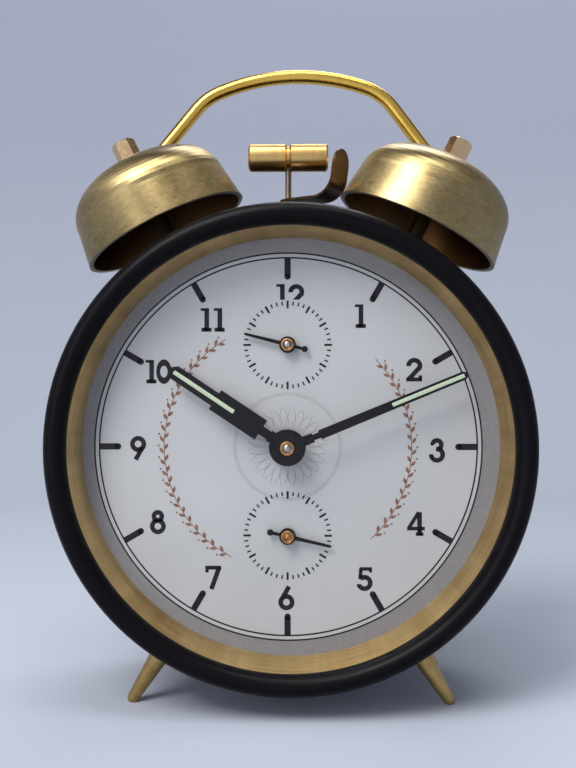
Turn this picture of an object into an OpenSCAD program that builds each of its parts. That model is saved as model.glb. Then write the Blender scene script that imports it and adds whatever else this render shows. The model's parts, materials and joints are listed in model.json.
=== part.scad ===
// Twin bell alarm clock in millimetres. +Z is up, the dial looks along -Y and the feet stand on z = 0.
// x = 0 is the axis of the case. Depths are counted from the widest plane of the bezel to the rear.

/* [Case] */
// Height of the dial centre above the table
axis_height = 66.2; // [64:0.1:69]
// Outer radius of the drum
drum_radius = 58.3; // [58:0.1:60]
// Sheet thickness of the drum
drum_wall = 0.8; // [0.6:0.1:1]
// Distance from the handle to the rear end of the drum
handle_seat = 7.1; // [6.5:0.1:9]
// How far the bezel stands out beyond the drum
bezel_overhang = 1.95; // [1.5:0.05:3]
// Width of the bezel between its outer edge and the glass
bezel_width = 5.5; // [4.5:0.05:5.8]
// How far the bezel bulges to the front of its widest plane
bezel_bulge = 3; // [2.6:0.1:4]
// Length of the skirt of the bezel over the drum
skirt_length = 7; // [5:0.5:9]
// Thickness of the glass
glass_thick = 1.5; // [1.2:0.1:1.6]
// Rise of the domed glass at its middle
glass_dome = 2; // [1:0.1:2.4]
// Height of the lip at the rim of the back cover
cover_rim = 2.2; // [1.5:0.1:2.4]
// Depth between the back cover and the end of the drum
cover_recess = 1; // [0.6:0.1:1.2]

/* [Dial] */
// Depth of the face of the dial
dial_depth = 10; // [9.6:0.1:10.4]
// Thickness of the dial
dial_thick = 0.5; // [0.4:0.1:0.6]
// Distance from the drum's wall to the foot of the reflector ring on the dial
ring_inset = 4.3; // [3.7:0.1:5.5]
// Sheet thickness of the reflector ring
ring_sheet = 0.4; // [0.3:0.1:0.5]
// Sideways offset of the movement, the dial and the hammer in the case
offset_x = -0.7; // [-1.2:0.1:0]
// Height of the seconds hand's axis above the centre
seconds_rise = 25.9; // [25.7:0.1:26.1]
// Depth of the alarm hand's axis below the centre
alarm_drop = 22.65; // [22.4:0.05:23]

/* [Hands] */
// Length of the minute hand
minute_length = 48.4; // [46:0.1:49]
// Length of the hour hand
hour_length = 35.8; // [34.8:0.1:38]
// Length of the small hands
small_length = 11.4; // [10:0.1:12]
// Sheet thickness of the hands
hand_sheet = 0.4; // [0.3:0.05:0.5]
// Depth of the minute hand
minute_depth = 4; // [3.8:0.1:4.2]
// Depth of the hour hand
hour_depth = 5.8; // [5.6:0.1:6.2]
// Depth of the small hands
small_depth = 8.5; // [8:0.1:8.8]
// Angle of the minute hand, clockwise from twelve
minute_angle = 67.6; // [0:0.1:360]
// Angle of the hour hand, clockwise from twelve
hour_angle = 303.7; // [0:0.1:360]
// Angle of the seconds hand, clockwise from twelve
seconds_angle = 284.3; // [0:0.1:360]
// Angle of the alarm hand, clockwise from twelve
alarm_angle = 103; // [0:0.1:360]

/* [Bells] */
// Radius of a bell at its rim
bell_radius = 22.9; // [22:0.1:23.8]
// Height of a bell
bell_height = 21; // [20:0.1:23]
// Height of the conical skirt of a bell
bell_skirt = 9.5; // [8:0.1:11]
// How much the skirt narrows towards the shoulder
bell_taper = 1.4; // [1:0.1:2]
// Wall of a bell
bell_wall = 1.2; // [1:0.1:1.4]
// Angle between the post of a bell and the top of the drum
post_angle = 31.3; // [31:0.1:32]
// Tilt of a bell away from upright
bell_tilt = 26.5; // [26:0.1:27.5]
// Distance from the drum to the rim plane of a bell, along its axis
bell_lift = 8; // [7.5:0.1:9]
// Depth of the bells and of the hammer
bell_depth = 25; // [24.8:0.1:25.2]
// Radius of a bell post
post_radius = 2.2; // [2:0.1:2.6]
// Radius of the threaded end of a bell post
stud_radius = 1.5; // [1.3:0.1:1.6]
// Width across flats of the nut on a bell
bell_nut_flats = 5.7; // [5.2:0.1:6.5]
// Height of the nut on a bell
bell_nut_height = 6.5; // [5:0.1:7]

/* [Handle] */
// Radius of the handle wire
handle_wire = 1.9; // [1.7:0.05:2]
// Height of the top of the handle above the drum
handle_rise = 50.4; // [48:0.1:54]
// Radius of the arch at the top of the handle
handle_arch = 57.6; // [54:0.1:62]
// Half of the angle of that arch
handle_sweep = 24.2; // [23:0.1:25]
// Radius of the upper bends
shoulder_bend = 7; // [5:0.5:8]
// Slope of the legs below the horizontal
leg_slope = 52.2; // [51:0.1:54]
// Radius of the lower bends
lower_bend = 6; // [5:0.5:7]
// Angle at which the ends go into the drum, from its top
handle_angle = 34.5; // [34:0.1:35.5]
// Clearance between the bells and the handle behind them
handle_gap = 0.6; // [0.2:0.1:1.1]

/* [Feet] */
// Angle of a foot away from straight down
foot_angle = 32; // [30:0.5:34]
// Radius of a foot at the drum
foot_top = 2.95; // [2.6:0.05:3.3]
// Radius of a foot near its tip
foot_tip = 1.5; // [1.3:0.05:1.7]
// Depth of the front feet
foot_front = 13; // [12:0.5:15]
// Depth of the rear feet
foot_rear = 42; // [39:0.5:44]

/* [Hammer] */
// Length of the hammer head
head_length = 21.5; // [20:0.1:21.9]
// Radius of the hammer head
head_radius = 3.7; // [3.4:0.1:3.9]
// Height of the hammer head above the drum
head_rise = 19.1; // [18.5:0.1:20]
// Radius of the hammer rod
rod_radius = 0.83; // [0.7:0.01:0.9]
// Distance of the rod to the left of the movement's middle
rod_shift = 0.1; // [0:0.01:0.5]
// Width of the stop lever
lever_width = 8.2; // [7.5:0.1:8.5]
// Sheet thickness of the stop lever
lever_sheet = 0.6; // [0.5:0.05:0.8]
// Height of the stop lever above the drum
lever_rise = 5.4; // [4.8:0.1:6]
// Distance of the stop lever's pivot in front of the hammer
lever_ahead = 6.6; // [6.4:0.1:7]
// Direction of the lever, turned to the front from straight right
lever_turn = 29; // [27:0.5:31]

/* [Movement] */
// Depth of the front plate
front_plate_depth = 16.5; // [16.4:0.1:16.7]
// Depth of the rear plate
rear_plate_depth = 38; // [37.9:0.1:38.4]
// Thickness of the plates
plate_thick = 1.2; // [1:0.1:1.3]
// Radius of the plates
plate_radius = 49; // [48.5:0.1:50]
// Radius of the plate pillars
pillar_radius = 2.5; // [2.2:0.1:2.6]
// Radial play of a pivot or an arbor in its hole
play = 0.04; // [0.02:0.01:0.08]
// Backlash of a pair of gears at the pitch circle, as a part of a tooth and its gap
backlash = 0.2; // [0.16:0.01:0.26]
// Width of the mainsprings
spring_width = 9.5; // [8:0.5:9.5]
// Gap between the turns of a mainspring, with the strip itself
spring_pitch = 1.5; // [1.3:0.05:1.55]
// Thickness of a mainspring's strip
spring_strip = 0.45; // [0.35:0.05:0.5]
// Turns of a mainspring
spring_turns = 8; // [6:1:8]
// Outer radius of the balance wheel
balance_radius = 9; // [8:0.1:9.4]

/* [Keys and knobs] */
// Width of a winding key over its wings
key_width = 24; // [20:0.5:26]
// Length of a winding key
key_length = 10; // [9:0.5:12]
// Radius of the setting knobs
knob_radius = 4.8; // [4:0.1:5.4]
// Height of the setting knobs
knob_height = 7; // [5:0.5:8]
// Gap between the back cover and the keys and knobs
key_gap = 1.5; // [1.3:0.1:3]

/* [Hidden] */
$fn = 64;

// Fits: between pieces that only meet, and of studs in their clearance holes
meet_gap = 0.05;
stud_gap = 0.1;
drum_inner = drum_radius - drum_wall;
handle_depth = bell_depth + bell_radius + handle_wire + handle_gap;
drum_rear = handle_depth + handle_seat;
lever_depth = bell_depth - lever_ahead;
ring_foot = drum_inner - ring_inset;
bezel_outer = drum_radius + bezel_overhang;
bezel_inner = bezel_outer - bezel_width;
skirt_sheet = 0.9;
cover_sheet = 0.8;
cover_depth = drum_rear - cover_recess - cover_sheet;
cover_back = cover_depth + cover_sheet;
cover_radius = drum_inner - 0.15;
key_front = cover_back + key_gap;
back_depth = key_front + key_length;
depth_mid = (back_depth - bezel_bulge) / 2;

// Glass in its seat behind the lip of the bezel
seat_radius = drum_inner - 0.2;
seat_front = 0.6;
glass_radius = seat_radius - 0.2;
dome_radius = (pow(glass_radius, 2) + pow(glass_dome, 2)) / (2 * glass_dome);
edge_drop = (pow(glass_radius, 2) - pow(bezel_inner, 2)) / (2 * dome_radius);
glass_rear = seat_front + meet_gap + edge_drop + glass_thick;
drum_front = glass_rear + 0.15;
ring_front = glass_rear + meet_gap;
ring_mouth = bezel_inner + 1;
ring_flange = seat_radius - 0.1;
dial_radius = ring_foot + 0.9;
dial_back = dial_depth + dial_thick;

// Bells, with their rim plane at z = 0 of their own frame
bell_x = drum_radius * sin(post_angle) + bell_lift * sin(bell_tilt);
bell_z = drum_radius * cos(post_angle) + bell_lift * cos(bell_tilt);
bell_steps = 16;
shoulder_power = 0.75;
post_top = bell_height - bell_wall - meet_gap;
stud_top = bell_height + bell_nut_height - 0.8;
nut_flats = 5.5;
nut_height = 2;
nut_seat = 0.4;

// Handle, from the arch down to its ends
handle_top = drum_radius + handle_rise;
arch_x = handle_arch * sin(handle_sweep);
arch_z = handle_top - handle_arch * (1 - cos(handle_sweep));
leg_x = arch_x + shoulder_bend * (sin(leg_slope) - sin(handle_sweep));
leg_z = arch_z - shoulder_bend * (cos(handle_sweep) - cos(leg_slope));
leg_run = (leg_z * tan(handle_angle) - leg_x) / (cos(leg_slope) + sin(leg_slope) * tan(handle_angle));
lower_turn = 90 + handle_angle - leg_slope;
lower_tangent = lower_bend * tan(lower_turn / 2);
handle_end = drum_radius + stud_gap;
leg_length = leg_run - lower_tangent;
foot_length = (leg_z - sin(leg_slope) * leg_run) / cos(handle_angle) - lower_tangent - handle_end;

// Feet, whose round tips are cut flat where they stand
pad_cut = 0.5;
foot_centre = (axis_height - foot_tip + pad_cut) / cos(foot_angle);
foot_start = drum_radius + 0.1;

// Places in the movement, from the centre arbor, as the front is seen
great_teeth = 72;
great_module = 0.5;
centre_leaves = 12;
centre_teeth = 64;
centre_module = 0.5;
third_leaves = 8;
third_teeth = 60;
third_module = 0.45;
fourth_leaves = 8;
fourth_teeth = 64;
fourth_module = 0.36;
escape_leaves = 8;
strike_leaves = 8;
cannon_leaves = 12;
minute_teeth = 36;
minute_leaves = 10;
hour_teeth = 40;
alarm_teeth = 40;
great_reach = great_module * (great_teeth + centre_leaves) / 2;
third_reach = centre_module * (centre_teeth + third_leaves) / 2;
fourth_reach = third_module * (third_teeth + fourth_leaves) / 2;
escape_reach = fourth_module * (fourth_teeth + escape_leaves) / 2;
strike_reach = great_module * (great_teeth + strike_leaves) / 2;
// Height of the teeth and of the leaves above the pitch circle, in modules
wheel_top = 1.05;
leaf_top = 0.75;
// The alarm's great wheel lies as deep as the centre pinion and passes beside it
pass_gap = 0.5;
alarm_great_reach = great_module * ((great_teeth + centre_leaves) / 2 + wheel_top + leaf_top) + pass_gap;
hour_module = 2 * alarm_drop / (hour_teeth + alarm_teeth);
minute_reach = hour_module * (hour_teeth + minute_leaves) / 2;
cannon_module = 2 * minute_reach / (cannon_leaves + minute_teeth);
great_dir = -25.1;
alarm_great_dir = 204.3;
escape_dir = 20;
fork_dir = -20;
strike_dir = 99.9;
hammer_dir = 45;
minute_dir = 160;
pallet_reach = 9;
fork_reach = 11.5;
verge_reach = 9.5;
third_bearing = acos((pow(third_reach, 2) + pow(seconds_rise, 2) - pow(fourth_reach, 2))
    / (2 * third_reach * seconds_rise));
centre_at = [0, 0];
fourth_at = [0, seconds_rise];
alarm_at = [0, -alarm_drop];
third_at = third_reach * dir(90 - third_bearing);
great_at = great_reach * dir(great_dir);
alarm_great_at = alarm_great_reach * dir(alarm_great_dir);
escape_at = fourth_at + escape_reach * dir(escape_dir);
pallet_at = escape_at + [pallet_reach, 0];
balance_at = pallet_at + fork_reach * dir(fork_dir);
strike_at = alarm_great_at + strike_reach * dir(strike_dir);
hammer_at = strike_at + verge_reach * dir(hammer_dir);
minute_at = minute_reach * dir(minute_dir);
PILLARS = [[41, -8], [-42, -8], [0, -38], [26, 38], [-30, 34]];
COVER_POSTS = [[40, 6], [-38, 18], [0, -33]];

// Depths of the layers of the movement
hour_layer = 12.2;
minute_layer = 14.4;
centre_layer = 19;
strike_layer = 18.9;
great_layer = 21.6;
click_layer = 23.1;
spring_layer = 25;
fourth_layer = 27.5;
balance_layer = 27.5;
escape_layer = 31;
fork_layer = 32.6;
hair_layer = 35.1;
third_layer = 36.3;
front_back = front_plate_depth + plate_thick;
rear_back = rear_plate_depth + plate_thick;

// Radii of arbors and of what turns on them
centre_r = 1;
winder_r = 1.8;
pivot_r = 0.6;
thin_r = 0.45;
hammer_r = 0.9;
alarm_r = 1;
cannon_outer = 1.6;
hour_pipe = 2.3;
hub_r = 3.2;
key_hub = 3;
escape_tip = 6.4;
strike_tip = 6;
ratchet_r = 5.5;
ratchet_step = 1.2;
ratchet_teeth = 12;
wheel_share = 0.42;
leaf_share = 1 - backlash - wheel_share;
DIAL_FEET = [[31, 22], [-31, 22], [22, -32]];
screw_r = 1.2;
screw_head = 1.3;
screw_length = 8;
stud_reach = 5;
index_pin = 0.9;
index_dir = 40;
index_clear = 4.8;
index_along = (balance_at + [offset_x, 0]) * dir(index_dir);
index_reach = sqrt(pow(drum_inner - index_clear, 2) - pow(norm(balance_at + [offset_x, 0]), 2)
    + pow(index_along, 2)) - index_along;
index_swing = 20;

// Hammer, its rod and the stop lever
head_z = drum_radius + head_rise;
knee_z = 46;
rod_bend = 4;
rod_x = offset_x - rod_shift;
rod_slope = 90 - bearing(hammer_at, [-rod_shift, knee_z]);
rod_tangent = rod_bend * tan(rod_slope / 2);
hammer_hub = 2.4;
verge_layer = 20.3;
verge_sheet = 0.8;
verge_span = 75;
strike_pin = 0.35;
fork_pin = 0.25;
fork_span = 60;
pin_gap = 0.06;
slot_reach = 7.2;
slot_width = 3.6;
lever_x = 1.2;
lever_bearing = asin(lever_x / drum_radius);
lever_flat = 7.2;
lever_bend = 5.4;
lever_rise_angle = 82;
lever_stand = 7.3;
finger_reach = 7.2;
finger_width = 1.2;
finger_turn = 179;
lever_pin = 1.2;
rivet_head = 1.7;
minute_slot_start = 28.2;
hour_slot_start = 16.1;
plate_side = 46;
plate_low = 42;
plate_high = 44;

// Small parts of the motion work, the alarm and the regulator
minute_stud = 0.8;
minute_stud_end = 11.4;
letoff_at = [-27, -14];
letoff_depth = 13.5;
letoff_sheet = 0.4;
hair_inner = 1.6;
hair_pitch = 0.65;
hair_strip = 0.15;
hair_width = 0.6;
hair_turns = 6;
hair_outer = hair_inner + (hair_turns + 0.25) * hair_pitch + hair_strip / 2;
click_reach = 9.5;
click_dir = 50;
click_pin = 0.7;
click_lift = 12;
wing_radius = 4.4;
wing_sheet = 1.6;
key_turn = 20;
arbor_r = 0.8;
fourth_arbor = 0.9;
third_dir = 90 - third_bearing;
fourth_dir = bearing(third_at, fourth_at);
hour_phase = gap_phase(hour_teeth, minute_dir);
hour_share = (-90 - hour_phase) * hour_teeth / 360;
alarm_phase = 90 - (0.5 - hour_share + floor(hour_share)) * 360 / alarm_teeth;

function dir(a) = [cos(a), sin(a)];
function yd(d) = d - depth_mid;
function bearing(from, to) = atan2(to.y - from.y, to.x - from.x);

// Points of one gear. A tooth has radial flanks up to the pitch circle and rounds off to its tip
function gear_points(teeth, module_size, share, phase, top, root) = [
    for (k = [0 : teeth - 1], s = [-1, 1], q = s < 0 ? [0 : 3] : [3 : -1 : 0])
        let (half = share * 180 / teeth,
            pitch_r = module_size * teeth / 2,
            r = pitch_r + module_size * [-root, 0, 0.6 * top, top][q],
            w = half * [1, 1, 0.68, 0.22][q])
        r * dir(phase + k * 360 / teeth + s * w)
];
function wheel_points(teeth, module_size, phase) =
    gear_points(teeth, module_size, wheel_share, phase, wheel_top, 1.05);
function leaf_points(teeth, module_size, phase) =
    gear_points(teeth, module_size, leaf_share, phase, leaf_top, 1.3);
// Angle of a wheel's tooth when a gap of it looks along the line to its mate, and that of the mate
function gap_phase(teeth, towards) = towards + 180 / teeth;
function tooth_phase(towards) = towards + 180;

module on_axis() translate([0, 0, axis_height]) children();
module at(p) translate([offset_x + p.x, 0, axis_height + p.y]) children();
module slab(d, t) translate([0, yd(d + t), 0]) rotate([90, 0, 0]) linear_extrude(t) children();
module rod(d0, d1, r) translate([0, yd(d1), 0]) rotate([90, 0, 0]) cylinder(r = r, h = d1 - d0);
module turned(points) rotate([90, 0, 0]) rotate_extrude() polygon([for (p = points) [p.x, -yd(p.y)]]);
module radial(angle, d) translate([0, yd(d), axis_height]) rotate([0, angle, 0]) children();
module bell_frame(side)
    translate([side * bell_x, yd(bell_depth), axis_height + bell_z])
        rotate([0, side * bell_tilt, 0]) children();
module hex_prism(flats, h) cylinder(d = flats / cos(30), h = h, $fn = 6);
module hex_nut(flats, h, bore) difference() {
    hex_prism(flats, h);
    translate([0, 0, -1]) cylinder(r = bore, h = h + 2);
}

module case_drum() color("#1c1c1f") difference() {
    on_axis() turned([[drum_inner, drum_front], [drum_radius, drum_front],
        [drum_radius, drum_rear], [drum_inner, drum_rear]]);
    for (side = [-1, 1]) {
        bell_frame(side) translate([0, 0, -bell_lift - 5]) cylinder(r = stud_radius + stud_gap, h = 9);
        stud_hole(side * handle_angle, handle_depth);
        for (d = [foot_front, foot_rear]) stud_hole(180 - side * foot_angle, d);
    }
    stud_hole(lever_bearing, lever_depth);
    translate([rod_x - slot_reach, yd(bell_depth) - slot_width / 2, axis_height + drum_radius - 4])
        cube([2 * slot_reach, slot_width, 8]);
}
module stud_hole(angle, d)
    radial(angle, d) translate([0, 0, drum_inner - 3]) cylinder(r = stud_radius + stud_gap, h = 6);

module front_bezel() color("#202023") on_axis() turned(concat(
    [[bezel_outer - 0.9, skirt_length]],
    [for (t = [0 : 10 : 180]) [bezel_outer - bezel_width / 2 * (1 - cos(t)), -bezel_bulge * sin(t)]],
    [[bezel_inner, seat_front], [seat_radius, seat_front], [seat_radius, drum_front - meet_gap],
        [drum_radius + stud_gap, drum_front - meet_gap], [drum_radius + stud_gap, skirt_length]]));

function dome(r) = seat_front + meet_gap
    + sqrt(pow(dome_radius, 2) - pow(bezel_inner, 2)) - sqrt(pow(dome_radius, 2) - pow(r, 2));
module glass() color([0.8, 0.9, 0.95, 0.3]) on_axis() turned([
    for (t = [0, glass_thick], i = t == 0 ? [0 : 12] : [12 : -1 : 0])
        let (r = glass_radius * i / 12) [r, dome(r) + t]]);

module reflector_ring() color("#a58d57") on_axis() turned([
    [ring_flange, ring_front], [ring_mouth, ring_front], [ring_foot, dial_depth - meet_gap],
    [ring_foot + ring_sheet, dial_depth - meet_gap], [ring_mouth + ring_sheet, ring_front + ring_sheet],
    [ring_flange, ring_front + ring_sheet]]);

module dial() color("#e8e8ea") at(centre_at) {
    slab(dial_depth, dial_thick) difference() {
        circle(r = dial_radius, $fn = 96);
        circle(r = hour_pipe + 0.5);
        translate(fourth_at) circle(r = pivot_r + 0.6);
        translate(alarm_at) circle(r = alarm_r + 0.5);
    }
    for (p = DIAL_FEET) translate([p.x, 0, p.y]) rod(dial_back - 0.1, front_plate_depth - meet_gap, 1);
}

module back_cover() color("#2b2b2e") {
    on_axis() turned([[cover_radius - cover_sheet, cover_depth - cover_rim],
        [cover_radius, cover_depth - cover_rim], [cover_radius, cover_back],
        [cover_radius - cover_sheet, cover_back]]);
    difference() {
        on_axis() rod(cover_depth, cover_back, cover_radius - cover_sheet / 2);
        at(centre_at) slab(cover_depth - 1, cover_sheet + 2) {
            circle(r = centre_r + 1.5);
            translate(alarm_at) circle(r = alarm_r + 1.5);
            for (p = [great_at, alarm_great_at]) translate(p) circle(r = winder_r + 2.2);
            for (p = COVER_POSTS) translate(p) circle(r = screw_r + stud_gap);
            translate(balance_at) arc_slot(index_reach, index_pin + 0.5, index_dir, index_swing + 4);
        }
    }
}
module arc_slot(reach, half_width, middle, swing) {
    intersection() {
        difference() {
            circle(r = reach + half_width);
            circle(r = reach - half_width);
        }
        polygon([[0, 0], 3 * reach * dir(middle - swing), 3 * reach * dir(middle),
            3 * reach * dir(middle + swing)]);
    }
    for (s = [-1, 1]) translate(reach * dir(middle + s * swing)) circle(r = half_width - 0.03);
}

module cover_screws() color("#b9b9bd") for (p = COVER_POSTS) at(p) difference() {
    union() {
        rod(cover_back, cover_back + screw_head, 2 * screw_r);
        rod(cover_back - screw_length, cover_back + 0.1, screw_r);
    }
    translate([-3, yd(cover_back + screw_head) - 0.6, -0.3]) cube([6, 1, 0.6]);
}

module foot(side, d) difference() {
    radial(180 - side * foot_angle, d) {
        rotate_extrude() polygon(concat([[0, foot_start], [foot_top, foot_start]],
            [for (t = [0 : 15 : 90]) [foot_tip * cos(t), foot_centre + foot_tip * sin(t)]]));
        translate([0, 0, drum_inner - stud_reach]) cylinder(r = stud_radius, h = stud_reach + 2);
    }
    translate([-100, -100, -20]) cube([200, 200, 20]);
}
module feet() color("#9c8350") for (side = [-1, 1], d = [foot_front, foot_rear]) foot(side, d);

function bell_outline(inset) = concat([[bell_radius - inset, 0]], [for (i = [0 : bell_steps])
    let (t = 90 * i / bell_steps)
    [(bell_radius - bell_taper - inset) * pow(cos(t), shoulder_power),
        bell_skirt + (bell_height - bell_skirt - inset) * sin(t)]]);
module bell(side) color("#96825a") bell_frame(side) difference() {
    rotate_extrude($fn = 96) polygon(concat(bell_outline(0),
        [for (i = [bell_steps + 1 : -1 : 0]) bell_outline(bell_wall)[i]]));
    cylinder(r = stud_radius + stud_gap, h = 2 * bell_height);
}
module bell_posts() color("#8a8a8e") for (side = [-1, 1]) {
    difference() {
        bell_frame(side) translate([0, 0, -bell_lift - 1]) cylinder(r = post_radius, h = post_top + bell_lift + 1);
        on_axis() rod(0, drum_rear, drum_radius + meet_gap);
    }
    bell_frame(side) translate([0, 0, -bell_lift - stud_reach])
        cylinder(r = stud_radius, h = bell_lift + stud_reach + stud_top);
}
module bell_nuts() color("#b98c5f") for (side = [-1, 1])
    bell_frame(side) translate([0, 0, bell_height + meet_gap]) difference() {
        intersection() {
            hex_prism(bell_nut_flats, bell_nut_height);
            cylinder(r1 = bell_nut_flats / 2 + bell_nut_height, r2 = bell_nut_flats / 2 + 0.1, h = bell_nut_height);
        }
        translate([0, 0, -1]) cylinder(r = stud_radius + 0.02, h = bell_nut_height + 2);
    }

// Runs along +X and then, step by step, by a length and round a bend to the right. The tight bends are
// a hair slimmer than what they join and reach a little way into it
module wire(r, steps, i = 0) if (i < len(steps)) {
    if (steps[i][0] > 0) rotate([0, 90, 0]) cylinder(r = r, h = steps[i][0]);
    if (i < len(steps) - 1) translate([steps[i][0], 0, 0]) {
        bend = steps[i][1];
        turn = steps[i][2];
        lap = bend < 20 ? 0.3 / bend * 180 / PI : 0;
        translate([0, -bend, 0]) rotate(90 - turn - lap)
            rotate_extrude(angle = turn + 2 * lap) translate([bend, 0]) circle(r = bend < 20 ? r - 0.02 : r);
        translate([bend * sin(turn), -bend * (1 - cos(turn)), 0]) rotate(-turn) wire(r, steps, i + 1);
    }
}
module handle() color("#c79a3e") {
    translate([-handle_end * sin(handle_angle), yd(handle_depth), axis_height + handle_end * cos(handle_angle)])
        rotate([90, 0, 0]) rotate(90 + handle_angle) wire(handle_wire, [
            [foot_length, lower_bend, lower_turn],
            [leg_length, shoulder_bend, leg_slope - handle_sweep],
            [0, handle_arch, 2 * handle_sweep],
            [0, shoulder_bend, leg_slope - handle_sweep],
            [leg_length, lower_bend, lower_turn],
            [foot_length, 0, 0]]);
    for (side = [-1, 1]) radial(side * handle_angle, handle_depth)
        translate([0, 0, drum_inner - stud_reach]) cylinder(r = stud_radius, h = stud_reach + 3);
}
module case_nuts() color("#a8a8ac") for (side = [-1, 1]) {
    for (d = [foot_front, foot_rear]) inner_nut(180 - side * foot_angle, d);
    inner_nut(side * handle_angle, handle_depth);
    bell_frame(side) translate([0, 0, -bell_lift - drum_wall - nut_seat - nut_height])
        hex_nut(nut_flats, nut_height, stud_radius + 0.02);
}
module inner_nut(angle, d) radial(angle, d) translate([0, 0, drum_inner - nut_seat - nut_height])
    hex_nut(nut_flats, nut_height, stud_radius + 0.02);

module left_bell() bell(-1);
module right_bell() bell(1);

module lever_frame() translate([lever_x, yd(lever_depth), axis_height + drum_radius + lever_rise])
    rotate(-lever_turn) children();
module lever_post() color("#8d8d90") {
    difference() {
        translate([0, 0, -2]) lever_frame() {
            translate([0, 0, -lever_rise]) cylinder(r = 3, h = 4);
            translate([0, 0, -lever_rise]) cylinder(r = 2, h = lever_rise + 2 - meet_gap);
        }
        on_axis() rod(0, drum_rear, drum_radius + meet_gap);
    }
    lever_frame() {
        translate([0, 0, -2]) cylinder(r = lever_pin, h = lever_sheet + meet_gap + 2.1);
        translate([0, 0, lever_sheet + meet_gap]) cylinder(r1 = rivet_head, r2 = lever_pin, h = 0.5);
        translate([0, 0, -lever_rise - drum_wall - nut_seat - 1.6])
            cylinder(r = stud_radius, h = drum_wall + nut_seat + 3);
        translate([0, 0, -lever_rise - drum_wall - nut_seat - 1]) cylinder(r = 2 * lever_pin, h = 1);
    }
}
module stop_lever() color("#b8923f") lever_frame() {
    half = lever_width / 2;
    linear_extrude(lever_sheet) difference() {
        union() {
            circle(r = half);
            translate([0, -half]) square([lever_flat, lever_width]);
            rotate(finger_turn) translate([0, -finger_width / 2]) square([finger_reach, finger_width]);
        }
        circle(r = lever_pin + play);
    }
    translate([lever_flat, 0, lever_sheet + lever_bend]) {
        rotate([90, 0, 0]) rotate(-92) rotate_extrude(angle = lever_rise_angle + 4)
            translate([lever_bend + 0.015, -half + 0.02]) square([lever_sheet - 0.03, lever_width - 0.04]);
        rotate([0, -lever_rise_angle, 0]) translate([0, 0, -lever_bend - lever_sheet])
            linear_extrude(lever_sheet) {
                translate([0, -half]) square([lever_stand - half, lever_width]);
                translate([lever_stand - half, 0]) circle(r = half);
            }
    }
}

module hammer_head() color("#c9a13f") translate([rod_x, yd(bell_depth), axis_height + head_z]) difference() {
    rotate([0, 90, 0]) rotate_extrude() polygon([[0, -head_length / 2], [head_radius - 0.5, -head_length / 2],
        [head_radius, -head_length / 2 + 0.5], [head_radius, -0.85], [head_radius - 0.6, -0.3],
        [head_radius - 0.6, 0.3], [head_radius, 0.85], [head_radius, head_length / 2 - 0.5],
        [head_radius - 0.5, head_length / 2], [0, head_length / 2]]);
    translate([0, 0, -head_radius - 1]) cylinder(r = rod_radius + 0.02, h = head_radius + 1);
}
module hammer_rod() color("#7d756c")
    translate([rod_x, yd(bell_depth), axis_height + head_z - 0.1]) rotate([90, 0, 0]) rotate(-90)
        wire(rod_radius, [[head_z - 0.1 - knee_z - rod_tangent, rod_bend, rod_slope],
            [norm(hammer_at - [-rod_shift, knee_z]) - rod_tangent - hammer_hub / 2 - 0.1, 0, 0]]);
module hammer_arbor() color("#9a9a9e") at(hammer_at) {
    difference() {
        union() {
            rod(front_plate_depth - 0.5, rear_back + 0.5, hammer_r);
            rod(bell_depth - 2, bell_depth + 2, hammer_hub);
        }
        translate([0, yd(bell_depth), 0]) rotate([0, rod_slope, 0])
            translate([0, 0, hammer_hub / 2]) cylinder(r = rod_radius + 0.02, h = 5);
    }
    slab(verge_layer, verge_sheet) {
        circle(r = 1.9);
        for (p = pin_places(strike_tip + strike_pin + pin_gap, verge_span, hammer_dir, verge_reach))
            bar([0, 0], p, 1.1);
    }
    for (p = pin_places(strike_tip + strike_pin + pin_gap, verge_span, hammer_dir, verge_reach))
        translate([p.x, 0, p.y]) rod(strike_layer - 0.2, verge_layer + 0.1, strike_pin);
}
// Places of the two pallet pins, from their own arbor: a pin circle round the wheel, spread by a span
function pin_places(reach, span, towards, distance) =
    [for (s = [-1, 1]) reach * dir(towards + s * span / 2) - distance * dir(towards)];
module bar(p, q, width) translate(p) rotate(bearing(p, q)) {
    translate([0, -width / 2]) square([norm(q - p), width]);
    translate([norm(q - p), 0]) circle(r = width / 2, $fn = 24);
}

// Movement frame
module plate_outline() intersection() {
    circle(r = plate_radius, $fn = 96);
    translate([-plate_side, -plate_low]) square([2 * plate_side, plate_low + plate_high]);
}
PIVOTS = [[centre_at, centre_r], [great_at, winder_r], [alarm_great_at, winder_r], [third_at, pivot_r],
    [fourth_at, pivot_r], [escape_at, thin_r], [pallet_at, thin_r], [balance_at, thin_r],
    [strike_at, pivot_r], [hammer_at, hammer_r], [alarm_at, alarm_r]];
module plate_holes() {
    for (p = PIVOTS) translate(p[0]) circle(r = p[1] + play);
    for (p = PILLARS) translate(p) circle(r = screw_r + play);
}
module front_plate() color("#c2a35c") at(centre_at) {
    slab(front_plate_depth, plate_thick) difference() {
        plate_outline();
        plate_holes();
    }
    translate([minute_at.x, 0, minute_at.y]) rod(minute_stud_end, front_plate_depth + 0.1, minute_stud);
    translate([letoff_at.x, 0, letoff_at.y]) {
        rod(letoff_depth + letoff_sheet, front_plate_depth + 0.1, 2);
        rod(letoff_depth - 0.4, front_plate_depth, 1);
    }
}
module rear_plate() color("#c2a35c") at(centre_at) {
    slab(rear_plate_depth, plate_thick) difference() {
        plate_outline();
        plate_holes();
        for (p = COVER_POSTS) translate(p) circle(r = screw_r + play);
        translate(balance_at) arc_slot(hair_outer, 1, index_dir - 180, index_swing + 12);
    }
    translate([balance_at.x, 0, balance_at.y]) difference() {
        union() {
            rod(rear_back - 0.1, rear_back + 1.5, 1.9);
            rod(rear_back + 1, rear_back + 1.5, 3);
        }
        rod(rear_plate_depth - 1, rear_back + 1, thin_r + play);
    }
}
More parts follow.
